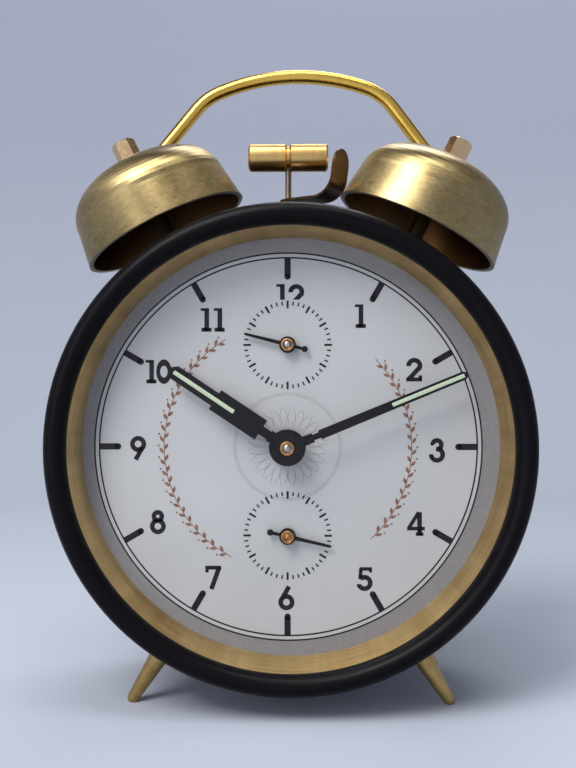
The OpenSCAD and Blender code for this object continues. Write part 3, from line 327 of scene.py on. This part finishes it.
BELL_DARK, BELL_LIGHT = paint(125, 107, 70), paint(168, 150, 108)
finishes = {
    "black_enamel": enamel(),
    "hand_black": hand_paint(),
    "clear_glass": window_glass(),
    "ring_brass": ring_brass(),
    "dial_face": dial_paint(),
    "left_bell": bell_brass("left_bell_brass", (-BELL[0], BELL[1], BELL[2]), -BELL_TILT),
    "right_bell": bell_brass("right_bell_brass", BELL, BELL_TILT),
    "nut_copper": metal("nut_copper", paint(200, 160, 110), paint(238, 208, 160), (0.16, 0.26), cloud=25),
    "gold": metal("polished_gold", paint(204, 158, 62), paint(234, 196, 98), (0.2, 0.3), (900, 900, 900), 45,
                  bump=0.000001, pits=0.2),
    "hammer_head": metal("hammer_gold", paint(186, 146, 84), paint(220, 184, 120), (0.26, 0.36),
                         (2400, 60, 60), 45, bump=0.000004, pits=0.3),
    "foot_bronze": metal("foot_bronze", paint(150, 124, 78), paint(192, 165, 110), (0.36, 0.5), bump=0.00002),
    "copper": metal("bush_copper", paint(176, 122, 70), paint(214, 162, 104), (0.24, 0.36), cloud=300),
    "steel": metal("bright_steel", paint(140, 140, 144), paint(190, 190, 194), (0.2, 0.34)),
    # The bell posts are painted very dark, standing in for the shade inside the bells
    "bell_posts": metal("post_bronze_painted_shade", paint(52, 38, 22), paint(82, 64, 40), (0.4, 0.55)),
    # The lever's bronze is painted very dark, standing in for the dark surroundings that it reflects
    "stop_lever": metal("lever_bronze_painted_shade", paint(42, 29, 16), paint(84, 61, 34), (0.3, 0.42)),
    "rod_steel": metal("rod_steel", paint(96, 86, 74), paint(140, 128, 112), (0.3, 0.45)),
    "movement_brass": metal("movement_brass", paint(166, 132, 70), paint(208, 176, 108), (0.26, 0.4),
                            (60, 60, 2400)),
    "spring_steel": metal("blued_steel", paint(48, 54, 72), paint(86, 94, 112), (0.2, 0.32)),
    "black_ink": ink("black_ink", paint(22, 15, 28), paint(32, 25, 36)),
    "cream_ink": ink("cream_ink", paint(196, 190, 170), paint(216, 210, 192)),
    "brown_ink": ink("brown_ink", paint(120, 82, 66), paint(150, 112, 94)),
    "grey_ink": ink("grey_ink", paint(142, 134, 136), paint(166, 160, 162)),
    "luminous": luminous(),
}


def wear(piece, finish):
    piece.data.materials.clear()
    piece.data.materials.append(finishes[finish].material)


for part in frame["record"]["subparts"]:
    name, kind = part["node"], part["material_slot"]
    wear(frame["nodes"][name], name if name in finishes else kind)


# Modelling helpers

def face_place(d, x=0.0, z=0.0):
    """Takes a drawing in millimetres, x to the right and y up, to the plane at a depth behind the bezel."""
    return Matrix.Scale(MM, 4) @ Matrix.Translation((MOVEMENT_X + x, d - CASE_MIDDLE, AXIS_HEIGHT + z)) \
        @ Matrix.Rotation(math.radians(90), 4, "X")


def finish_piece(name, bm, place, body, finish, smooth=False):
    """Makes a piece of a drawing or shape, which rides on a body and wears a finish."""
    bmesh.ops.transform(bm, matrix=place, verts=bm.verts)
    mesh = bpy.data.meshes.new(name)
    bm.to_mesh(mesh)
    bm.free()
    for polygon in mesh.polygons:
        polygon.use_smooth = smooth
    piece = bpy.data.objects.new(name, mesh)
    bpy.context.scene.collection.objects.link(piece)
    wear(piece, finish)
    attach(piece, body)
    return piece


def edge(bm, a, b):
    return bm.edges.new((bm.verts.new((*a, 0)), bm.verts.new((*b, 0))))


def bar(bm, a, b, width, turn=0.0, round_end=False):
    """A flat stroke from a to b, turned clockwise about the origin as an hour mark is."""
    (ax, ay), (bx, by) = a, b
    length = math.hypot(bx - ax, by - ay)
    nx, ny = -(by - ay) / length * width / 2, (bx - ax) / length * width / 2
    first = edge(bm, (ax + nx, ay + ny), (ax - nx, ay - ny))
    made = bmesh.ops.extrude_edge_only(bm, edges=[first])["geom"]
    moved = [v for v in made if isinstance(v, bmesh.types.BMVert)]
    bmesh.ops.translate(bm, verts=moved, vec=(bx - ax, by - ay, 0))
    verts = list(first.verts) + moved
    if round_end:
        verts += bmesh.ops.create_circle(bm, cap_ends=True, radius=width / 2, segments=24,
                                         matrix=Matrix.Translation((bx, by, 0)))["verts"]
    if turn:
        bmesh.ops.rotate(bm, verts=verts, cent=(0, 0, 0), matrix=Matrix.Rotation(math.radians(-turn), 3, "Z"))


ARC_STEP = 9            # degrees of a curved stroke that one straight side covers


def arc(bm, centre, radius, width, start, stop, stretch=1.0, steps=None):
    """A flat curved stroke round a centre, from one angle to another, counter-clockwise from the right."""
    a = math.radians(start)
    cx, cy = centre
    sweep = abs(stop - start)
    ends = [(cx + r * math.cos(a), cy + r * math.sin(a)) for r in (radius - width / 2, radius + width / 2)]
    before = set(bm.verts)
    first = edge(bm, *ends)
    bmesh.ops.spin(bm, geom=[first] + list(first.verts), cent=(cx, cy, 0), axis=(0, 0, 1),
                   angle=math.radians(stop - start), steps=steps or max(4, int(sweep / ARC_STEP)),
                   use_merge=sweep >= 360)
    if stretch != 1.0:
        for v in set(bm.verts) - before:
            v.co.y = cy + (v.co.y - cy) * stretch


def face_front(bm):
    """All faces of a flat print look to the front, which is +Z of the drawing."""
    bm.normal_update()
    bmesh.ops.reverse_faces(bm, faces=[f for f in bm.faces if f.normal.z < 0])


# Printing on the dial

FIGURE_HEIGHT = 6.0
STEM = 1.2                              # width of the thick strokes of a numeral
FIGURE_STEP, ONES_STEP = 2.75, 3.35     # from one figure to the next in the 10 and in the 11
SECONDS_SCALE_TOP = 37.4                # height above which the 12 is free of the small dial
PRINT_LIFT = 0.03                       # of a print above the lacquer
PRINT_STEP, ROSETTE_STEP = 0.005, 0.012     # by which other prints lie lower than that
HOUR_MARK = (48.2, 43.3, 1.6)           # outer radius, inner radius and width
TRACK_RADII, TRACK_LINE = (48.1, 49.3), 0.4
SCALE_TICKS, MAJOR_EVERY = 48, 4
MAJOR_TICK = (11.3, 9.35, 0.55)
MINOR_TICK = (11.15, 10.12, 0.38)


def numeral(bm, figure, left, low):
    """One figure of the dial, with slab feet and a flag as on old enamel dials."""
    before = set(bm.verts)
    h, w = FIGURE_HEIGHT, STEM
    if figure == "1":
        bar(bm, (1.56, 0), (1.56, h), w)
        bar(bm, (0, h - 0.35), (1.4, h - 0.35), 0.7)
        bar(bm, (0.2, 0.5), (2.8, 0.5), 1.0)
    elif figure == "2":
        arc(bm, (2.06, 3.96), 1.44, w, -34, 182)
        bar(bm, (3.28, 3.42), (0.72, 0.62), w)
        bar(bm, (0, 0.5), (4.05, 0.5), 1.0)
        bar(bm, (3.6, 0.6), (3.6, 1.55), 0.9)
    elif figure == "3":
        arc(bm, (2.0, 4.42), 1.12, w, -82, 165)
        arc(bm, (2.0, 1.94), 1.46, w, -168, 84)
        bar(bm, (1.75, 3.32), (2.4, 3.32), w)
        bar(bm, (0.36, 4.55), (1.3, 4.55), 0.6)
        bar(bm, (0.02, 1.75), (1.05, 1.75), 0.6)
    elif figure == "4":
        bar(bm, (2.95, h), (0.45, 2.0), 0.95)
        bar(bm, (0, 1.85), (4.5, 1.85), 0.95)
        bar(bm, (3.15, 0), (3.15, h), w)
        bar(bm, (2.2, 0.42), (4.15, 0.42), 0.84)
    elif figure == "5":
        bar(bm, (0.85, h - 0.45), (3.95, h - 0.45), 0.9)
        bar(bm, (3.6, h - 0.5), (3.6, h - 1.4), 0.7)
        bar(bm, (1.15, h - 0.3), (0.95, 2.9), 0.95)
        arc(bm, (2.05, 1.98), 1.46, w, -160, 138)
        bar(bm, (0.1, 1.4), (1.1, 1.4), 0.6)
    elif figure == "6":
        arc(bm, (2.1, 1.98), 1.46, w, 0, 360)
        bar(bm, (0.95, 2.75), (2.75, h), w)
    elif figure == "7":
        bar(bm, (0, h - 0.5), (4.05, h - 0.5), 1.0)
        bar(bm, (3.55, h - 0.4), (1.55, 0), w)
        bar(bm, (0.42, h - 0.5), (0.42, h - 1.75), 0.84)
    elif figure == "8":
        arc(bm, (2.05, 4.5), 1.02, w, 0, 360)
        arc(bm, (2.05, 1.96), 1.44, w, 0, 360)
    elif figure == "9":
        arc(bm, (2.1, 4.02), 1.46, w, 0, 360)
        bar(bm, (3.25, 3.25), (1.45, 0), w)
    elif figure == "0":
        arc(bm, (1.95, 3.0), 1.45, w * 0.86, 0, 360, stretch=1.6)
    bmesh.ops.translate(bm, verts=[v for v in bm.verts if v not in before], vec=(left, low, 0))


def dial_print(name, bm, lower, ink_name, centre=(0, 0)):
    """A flat print on the dial, a little lower than others that it may cross."""
    face_front(bm)
    finish_piece(name, bm, face_place(DIAL_DEPTH - PRINT_LIFT + lower, *centre), "case", ink_name)


bm = bmesh.new()
for figure, left in (("1", -2.9), ("2", 0.15)):
    numeral(bm, figure, left, 35.4)
bmesh.ops.bisect_plane(bm, geom=list(bm.verts) + list(bm.edges) + list(bm.faces),
                       plane_co=(0, SECONDS_SCALE_TOP, 0), plane_no=(0, -1, 0), clear_outer=True)
for figures, left, low in (("1", 17.1, 30.2), ("2", 30.1, 16.6), ("3", 35.9, -3.9), ("4", 30.35, -22.6),
                           ("5", 17.5, -36.6), ("6", -2.4, -41.6), ("7", -21.0, -36.4), ("8", -35.2, -22.35),
                           ("9", -40.3, -3.4), ("10", -36.3, 16.1), ("11", -22.2, 29.3)):
    for figure in figures:
        numeral(bm, figure, left, low)
        left += ONES_STEP if figures == "11" else FIGURE_STEP
dial_print("dial_numerals", bm, 0, "black_ink")

bm = bmesh.new()
outer, inner, width = HOUR_MARK
for hour in range(12):
    bar(bm, (0, outer), (0, inner), width, turn=hour * 30, round_end=True)
for radius in TRACK_RADII:
    arc(bm, (0, 0), radius, TRACK_LINE, 0, 360, steps=180)
dial_print("dial_hour_marks", bm, PRINT_STEP, "black_ink")

for name, centre in (("seconds_scale", SECONDS), ("alarm_scale", ALARM)):
    bm = bmesh.new()
    for tick in range(SCALE_TICKS):
        outer, inner, width = MINOR_TICK if tick % MAJOR_EVERY else MAJOR_TICK
        bar(bm, (0, outer), (0, inner), width, turn=tick * 360 / SCALE_TICKS)
    dial_print(name, bm, PRINT_STEP, "black_ink", centre)


# Ornament in place of words and pictures: two leafy sprays along the dial and a fine rosette at its middle

SPRAY_RADIUS, SPRAY_LINE = 31.6, 0.22
LEAF_LENGTH, LEAF_SLIM, LEAF_POINT = 1.9, 0.42, 0.75    # length, breadth over length, narrowing to the tips
LEAF_TILT, LEAF_PITCH, LEAF_OFF = 34, 5.2, 0.05         # degrees, degrees, distance from the branch
BERRY_RADIUS, BERRY_OUT, BERRY_AHEAD = 0.26, 1.35, 0.7
PETALS, PETAL_RADIUS, PETAL_CENTRE, PETAL_HALF = 24, 9.2, 10.2, 62
ROSETTE_RINGS, ROSETTE_LINE = (4.6, 13.2, 13.7), 0.14


def leaf(bm, angle, radius, tilt):
    """One leaf of a spray, its tip turned away from the branch by a tilt; angle clockwise from twelve."""
    verts = bmesh.ops.create_circle(bm, cap_ends=True, radius=LEAF_LENGTH / 2, segments=20)["verts"]
    for v in verts:
        v.co.y *= LEAF_SLIM * (1 - (v.co.x / LEAF_LENGTH * 2) ** 2 * LEAF_POINT)
    place = Matrix.Rotation(math.radians(-angle), 4, "Z") @ Matrix.Translation((0, radius, 0)) \
        @ Matrix.Rotation(math.radians(tilt), 4, "Z") @ Matrix.Translation((LEAF_LENGTH / 2, 0, 0))
    bmesh.ops.transform(bm, matrix=place, verts=verts)


def spray(bm, start, stop):
    """A branch along the dial, from its foot to its tip, with pairs of leaves and berries beyond them."""
    clockwise = stop > start
    pitch = LEAF_PITCH if clockwise else -LEAF_PITCH
    outward, inward = (LEAF_TILT, -LEAF_TILT) if clockwise else (180 - LEAF_TILT, 180 + LEAF_TILT)
    arc(bm, (0, 0), SPRAY_RADIUS, SPRAY_LINE, 90 - start, 90 - stop)
    for k in range(int((stop - start) / pitch)):
        angle = start + (k + 0.5) * pitch
        leaf(bm, angle, SPRAY_RADIUS + LEAF_OFF, outward)
        leaf(bm, angle + pitch / 3, SPRAY_RADIUS - LEAF_OFF, inward)
        verts = bmesh.ops.create_circle(bm, cap_ends=True, radius=BERRY_RADIUS, segments=14)["verts"]
        a = math.radians(90 - angle - pitch * BERRY_AHEAD)
        out = SPRAY_RADIUS + BERRY_OUT
        bmesh.ops.translate(bm, verts=verts, vec=(out * math.cos(a), out * math.sin(a), 0))


bm = bmesh.new()
spray(bm, 207, 330)
spray(bm, 138, 45)
dial_print("dial_sprays", bm, 0, "brown_ink")

bm = bmesh.new()
for k in range(PETALS):
    turn = k * 360 / PETALS
    centre = (PETAL_CENTRE * math.cos(math.radians(turn)), PETAL_CENTRE * math.sin(math.radians(turn)))
    arc(bm, centre, PETAL_RADIUS, ROSETTE_LINE, turn + 180 - PETAL_HALF, turn + 180 + PETAL_HALF)
for radius in ROSETTE_RINGS:
    arc(bm, (0, 0), radius, ROSETTE_LINE, 0, 360, steps=96)
dial_print("dial_rosette", bm, ROSETTE_STEP, "grey_ink")


# Hands: luminous fills and the caps on their arbors

PILLOW_CROWN = 0.07
EDGE_ROUND = 0.15
DOME_STEPS, ROUND_STEPS = 8, 4
SHARP_CAP = math.radians(35)


def pillow(name, inner, outer, half, d, angle, body):
    """Luminous compound held in the slot of a hand, level with its front and faintly crowned."""
    bm = bmesh.new()
    length = outer - inner
    bmesh.ops.create_grid(bm, x_segments=6, y_segments=60, size=1)
    for v in bm.verts:
        across, along = v.co.x, v.co.y
        v.co = (across * half, inner + (along + 1) / 2 * length, PILLOW_CROWN * (1 - across ** 4))
    place = face_place(d) @ Matrix.Rotation(math.radians(-angle), 4, "Z")
    finish_piece(name, bm, place, body, "luminous", smooth=True)


# Inner and outer end, half of the width, depth, angle and body
pillow("minute_luminous", 28.22, 47.38, 0.49, 4.05, MINUTE_ANGLE, "hands")
pillow("hour_luminous", 16.12, 34.18, 0.51, 5.85, HOUR_ANGLE, "hour")


def cap(name, profile, x, z, body, finish, steps=48):
    """A turned cap from its outline of radius and depth, which runs from the middle to the outside."""
    bm = bmesh.new()
    verts = [bm.verts.new((r, -d, 0)) for r, d in profile]
    edges = [bm.edges.new(pair) for pair in zip(verts, verts[1:])]
    bmesh.ops.spin(bm, geom=verts + edges, cent=(0, 0, 0), axis=(0, 1, 0), angle=math.tau, steps=steps,
                   use_merge=True)
    bmesh.ops.remove_doubles(bm, verts=bm.verts, dist=MERGE)
    bmesh.ops.rotate(bm, verts=bm.verts, cent=(0, 0, 0), matrix=Matrix.Rotation(math.pi, 3, "Z"))
    bmesh.ops.translate(bm, verts=bm.verts, vec=(0, -CASE_MIDDLE, 0))
    bmesh.ops.recalc_face_normals(bm, faces=bm.faces)
    place = Matrix.Scale(MM, 4) @ Matrix.Translation((MOVEMENT_X + x, 0, AXIS_HEIGHT + z))
    piece = finish_piece(name, bm, place, body, finish, smooth=True)
    piece.data.set_sharp_from_angle(angle=SHARP_CAP)


def quarter(steps):
    """Angles from nothing to a right angle, in equal steps."""
    return [k * math.pi / (2 * steps) for k in range(steps + 1)]


def pin_head(name, radius, front, rise, length, x, z, body, finish):
    """A domed pin head whose middle stands a rise in front of its rim, with a short straight side."""
    rim = front + rise
    dome = [(radius * math.sin(turn), front + rise * (1 - math.cos(turn))) for turn in quarter(DOME_STEPS)]
    cap(name, dome + [(radius, rim + length), (0, rim + length)], x, z, body, finish)


def collar(name, inner, outer, front, length, x, z, body, finish):
    """A flat ring with a small round on both of its front edges."""
    bend = min(EDGE_ROUND, (outer - inner) / 3)
    outside = [(outer - bend * (1 - math.sin(turn)), front + bend * (1 - math.cos(turn)))
               for turn in quarter(ROUND_STEPS)]
    inside = [(inner + outer - r, d) for r, d in reversed(outside)]
    back = front + length
    cap(name, inside + outside + [(outer, back), (inner, back), inside[0]], x, z, body, finish)


# A collar's inner and outer radius, front and length, or a pin's radius, front, rise and length, and
# then the place, the body and the finish
collar("centre_bush", 1.05, 1.75, 3.15, 1.0, 0, 0, "hands", "copper")
pin_head("centre_pin", 1.0, 2.62, 0.55, 0.4, 0, 0, "hands", "steel")
collar("seconds_bush", 1.02, 1.6, 7.3, 1.15, *SECONDS, "seconds", "copper")
pin_head("seconds_pin", 0.92, 7.0, 0.5, 0.5, *SECONDS, "seconds", "steel")
collar("alarm_bush", 1.1, 1.6, 7.3, 1.15, *ALARM, "alarm_set", "copper")
collar("alarm_ring", 0.62, 0.98, 7.3, 0.6, *ALARM, "alarm_set", "copper")
pin_head("alarm_pin", 0.56, 7.1, 0.3, 0.5, *ALARM, "alarm_set", "copper")


# Back cover: arrows that show which way to wind, marks of the regulator and a rolled bead

COVER_BACK = 56.5
COVER_PRINT = COVER_BACK + 0.03
ARROW_LINE, ARROW_HEAD, ARROW_LEAD = 0.7, 1.5, 4    # the lead in degrees puts the head past its line
KEY_ARROW, KNOB_ARROW = 14.6, 7.2                   # radii of the arrows over the keys and round the knobs
MARK_OUT, MARK_HALF, MARK_LINE = 11.8, 1.2, 0.6
GREAT_WHEELS = ((19.02, -8.91), (-20.42, -9.22))
REGULATOR = (31.99, 26.4)


def cover_print(name, bm):
    """A flat print on the cover, whose faces look to the rear, which is -Z of the drawing."""
    bm.normal_update()
    bmesh.ops.reverse_faces(bm, faces=[f for f in bm.faces if f.normal.z > 0])
    finish_piece(name, bm, face_place(COVER_PRINT), "case", "cream_ink")


def arrow(bm, centre, radius, start, stop):
    """A curved arrow of even width whose head points along the turn."""
    arc(bm, centre, radius, ARROW_LINE, start, stop)
    sense = 1 if stop > start else -1
    head = bmesh.ops.create_circle(bm, cap_ends=True, radius=ARROW_HEAD, segments=3)["verts"]
    tip = math.radians(stop + sense * ARROW_LEAD)
    place = Matrix.Translation((centre[0] + radius * math.cos(tip), centre[1] + radius * math.sin(tip), 0)) \
        @ Matrix.Rotation(tip + (0 if sense > 0 else math.pi), 4, "Z")
    bmesh.ops.transform(bm, matrix=place, verts=head)


bm = bmesh.new()
for centre, radius, start, stop in ((GREAT_WHEELS[0], KEY_ARROW, 125, 55),
                                    (GREAT_WHEELS[1], KEY_ARROW, 55, 125),
                                    ((0, 0), KNOB_ARROW, 152, 28), (ALARM, KNOB_ARROW, 208, 332)):
    arrow(bm, centre, radius, start, stop)
cover_print("cover_arrows", bm)

PLUS, MINUS = ((1, 0), (0, 1)), ((1, 0),)
bm = bmesh.new()
for angle, strokes in ((76, PLUS), (4, MINUS)):
    a = math.radians(angle)
    cx, cy = REGULATOR[0] + MARK_OUT * math.cos(a), REGULATOR[1] + MARK_OUT * math.sin(a)
    for across, up in strokes:
        reach_x, reach_y = MARK_HALF * across, MARK_HALF * up
        bar(bm, (cx - reach_x, cy - reach_y), (cx + reach_x, cy + reach_y), MARK_LINE)
cover_print("regulator_marks", bm)

BEAD = ((45.6, 56.4), (45.72, 56.7), (46.1, 56.9), (46.6, 56.97), (47.1, 56.9), (47.48, 56.7), (47.6, 56.4),
        (45.6, 56.4))
cap("cover_bead", BEAD, -MOVEMENT_X, 0, "case", "black_enamel", steps=128)


# Handle: one bent wire with its studs, in place of the plainer solid

HANDLE_DEPTH = 50.4
WIRE = 2.0
HANDLE_ANGLE = 34.5             # of the holes in the drum, away from its top
FOOT_START = 58.4               # from the case's axis to the lower ends of the wire
STUD_START, STUD_END, STUD_RADIUS = 52.5, 60.5, 1.5
ARCH_RADIUS = 62.0
ARCH_CENTRE = Vector((1.5, 0, 46.4))
SHOULDER, ANKLE = 18.0, 6.0     # radii of the upper and the lower bends
LEFT_LEG = (Vector((-28.3, 0, 99.5)), 50.2)     # a point of its middle line, and its slope from the level
RIGHT_LEG = (Vector((29.7, 0, 99.5)), 53.1)
SHARP_WIRE = math.radians(50)


def heading(degrees):
    """Direction in the plane of the handle, counted clockwise from upright."""
    return Vector((math.sin(math.radians(degrees)), 0, math.cos(math.radians(degrees))))


def leg(side, through, slope):
    """Lengths and turns of one leg, which goes through a point at a slope from the level, foot first."""
    up = heading(side * (slope - 90))
    inward = Vector((-side * up.z, 0, side * up.x))
    reach = through + inward * SHOULDER - ARCH_CENTRE
    ahead = reach.dot(up)
    to_bend = math.sqrt(ahead ** 2 - reach.length_squared + (ARCH_RADIUS - SHOULDER) ** 2) - ahead
    to_centre = reach + up * to_bend
    arch_angle = math.degrees(math.atan2(abs(to_centre.x), to_centre.z))
    out = heading(side * HANDLE_ANGLE)
    back = (through.x * out.z - through.z * out.x) / (up.x * out.z - up.z * out.x)
    ankle_turn = math.degrees(out.angle(up))
    cut = ANKLE * math.tan(math.radians(ankle_turn / 2))
    foot = (through - up * back).length - cut - FOOT_START
    return foot, ankle_turn, back + to_bend - cut, slope - arch_angle, arch_angle


def wire(bm, start, direction, runs):
    """Round wire through straight runs and clockwise bends, given as length, bend radius and turn."""
    place = Matrix.Translation(start) @ direction.to_track_quat("Z", "Y").to_matrix().to_4x4()
    ring = bmesh.ops.create_circle(bm, segments=32, radius=WIRE, matrix=place)["verts"]
    loop = first = list(dict.fromkeys(e for v in ring for e in v.link_edges))
    for length, bend, degrees in runs:
        if length:
            made = bmesh.ops.extrude_edge_only(bm, edges=loop)["geom"]
            ring = [g for g in made if isinstance(g, bmesh.types.BMVert)]
            loop = [g for g in made if isinstance(g, bmesh.types.BMEdge) and set(g.verts) <= set(ring)]
            bmesh.ops.translate(bm, verts=ring, vec=direction * length)
            start = start + direction * length
        if degrees:
            turn = math.radians(degrees)
            swing = Matrix.Rotation(turn, 3, "Y")
            centre = start + Vector((direction.z, 0, -direction.x)) * bend
            verts = list(dict.fromkeys(v for e in loop for v in e.verts))
            spun = bmesh.ops.spin(bm, geom=loop + verts, cent=centre, axis=(0, 1, 0), angle=turn,
                                  steps=max(6, int(degrees)))
            loop = [g for g in spun["geom_last"] if isinstance(g, bmesh.types.BMEdge)]
            start, direction = centre + swing @ (start - centre), swing @ direction
    for ends in (first, loop):
        bmesh.ops.edgeloop_fill(bm, edges=ends)


left_foot, left_ankle, left_leg, left_turn, left_arch = leg(-1, *LEFT_LEG)
right_foot, right_ankle, right_leg, right_turn, right_arch = leg(1, *RIGHT_LEG)
bm = bmesh.new()
wire(bm, heading(-HANDLE_ANGLE) * FOOT_START, heading(-HANDLE_ANGLE),
     ((left_foot, ANKLE, left_ankle), (left_leg, SHOULDER, left_turn),
      (0, ARCH_RADIUS, left_arch + right_arch),
      (0, SHOULDER, right_turn), (right_leg, ANKLE, right_ankle), (right_foot, 0, 0)))
for side in (-1, 1):
    out = heading(side * HANDLE_ANGLE)
    middle = Matrix.Translation(out * (STUD_START + STUD_END) / 2)
    bmesh.ops.create_cone(bm, cap_ends=True, segments=24, radius1=STUD_RADIUS, radius2=STUD_RADIUS,
                          depth=STUD_END - STUD_START,
                          matrix=middle @ out.to_track_quat("Z", "Y").to_matrix().to_4x4())
bmesh.ops.recalc_face_normals(bm, faces=bm.faces)
handle_place = Matrix.Scale(MM, 4) @ Matrix.Translation((0, HANDLE_DEPTH - CASE_MIDDLE, AXIS_HEIGHT))
handle_wire = finish_piece("handle_wire", bm, handle_place, "case", "gold", smooth=True)
handle_wire.data.set_sharp_from_angle(angle=SHARP_WIRE)
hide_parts("handle")


# Stage, light and camera

FLOOR_RADIUS, COVE_RADIUS, WALL_TOP = 0.4, 0.36, 0.7
MIDDLE = Vector((0, 0, 0.085))
WHITE, WARM = (1, 1, 1), (1.0, 0.985, 0.96)


def cove():
    """A round pale table top whose edge curves up into a wall, so that every view ends on plain card."""
    bm = bmesh.new()
    middle = bm.verts.new((0, 0, 0))
    rim = bm.verts.new((FLOOR_RADIUS, 0, 0))
    bm.edges.new((middle, rim))
    bend = bmesh.ops.spin(bm, geom=[rim], cent=(FLOOR_RADIUS, 0, COVE_RADIUS), axis=(0, -1, 0),
                          angle=math.pi / 2, steps=16)["geom_last"]
    top = bm.verts.new((FLOOR_RADIUS + COVE_RADIUS, 0, WALL_TOP))
    bm.edges.new(([g for g in bend if isinstance(g, bmesh.types.BMVert)][0], top))
    bmesh.ops.spin(bm, geom=list(bm.verts) + list(bm.edges), cent=(0, 0, 0), axis=(0, 0, 1), angle=math.tau,
                   steps=96, use_merge=True)
    bmesh.ops.remove_doubles(bm, verts=bm.verts, dist=MERGE)
    bmesh.ops.recalc_face_normals(bm, faces=bm.faces)
    if sum(f.normal.z for f in bm.faces) < 0:
        bmesh.ops.reverse_faces(bm, faces=bm.faces)
    mesh = bpy.data.meshes.new("cove")
    bm.to_mesh(mesh)
    bm.free()
    for polygon in mesh.polygons:
        polygon.use_smooth = True
    card = bpy.data.objects.new("cove", mesh)
    bpy.context.scene.collection.objects.link(card)
    f = Finish("card", paint(172, 177, 190), Roughness=0.9)
    height = f.parts(f.place)[2]
    # The card is painted darker towards the top of the wall, a painted fall-off of the light
    f.set(Base_Color=f.between(f.spread(height, 0.02, 0.5), paint(168, 174, 187), paint(158, 163, 178)))
    card.data.materials.append(f.material)


def lamp(name, place, size, power, colour=WHITE):
    """A softbox that looks at the middle of the clock."""
    data = bpy.data.lights.new(name, "AREA")
    data.shape = "RECTANGLE"
    data.size, data.size_y = size
    data.energy, data.color = power, colour
    box = bpy.data.objects.new(name, data)
    box.location = place
    box.rotation_euler = (MIDDLE - Vector(place)).to_track_quat("-Z", "Y").to_euler()
    bpy.context.scene.collection.objects.link(box)


cove()
lamp("key_softbox", (-0.34, -0.5, 0.72), (0.34, 0.42), 8.0, WARM)
lamp("low_softbox", (-0.33, -0.52, 0.2), (0.14, 0.3), 0.6, WARM)
lamp("fill_softbox", (0.48, -0.36, 0.72), (0.3, 0.3), 0.15)
lamp("top_softbox", (0.0, -0.25, 0.9), (0.5, 0.3), 3.0)
lamp("rear_softbox", (0.15, 0.5, 0.9), (0.5, 0.3), 2.8)

world = bpy.data.worlds.new("studio")
bpy.context.scene.world = world
world.use_nodes = True
background = world.node_tree.nodes["Background"]
background.inputs["Color"].default_value = paint(222, 221, 220)
background.inputs["Strength"].default_value = 0.16

SENSOR = 36                 # millimetres along the longer side of the picture
FOCAL_PIXELS, LONG_SIDE_PIXELS = 865, 768
camera_data = bpy.data.cameras.new("camera")
camera_data.sensor_width = SENSOR
camera_data.lens = FOCAL_PIXELS / LONG_SIDE_PIXELS * SENSOR
camera_data.clip_start = 0.01
camera = bpy.data.objects.new("camera", camera_data)
camera.location = (0.0039, -0.24275, 0.08215)
camera.rotation_euler = (math.radians(90), 0, math.radians(1.17))
bpy.context.scene.collection.objects.link(camera)
bpy.context.scene.camera = camera
bpy.context.scene.view_settings.view_transform = "Standard"
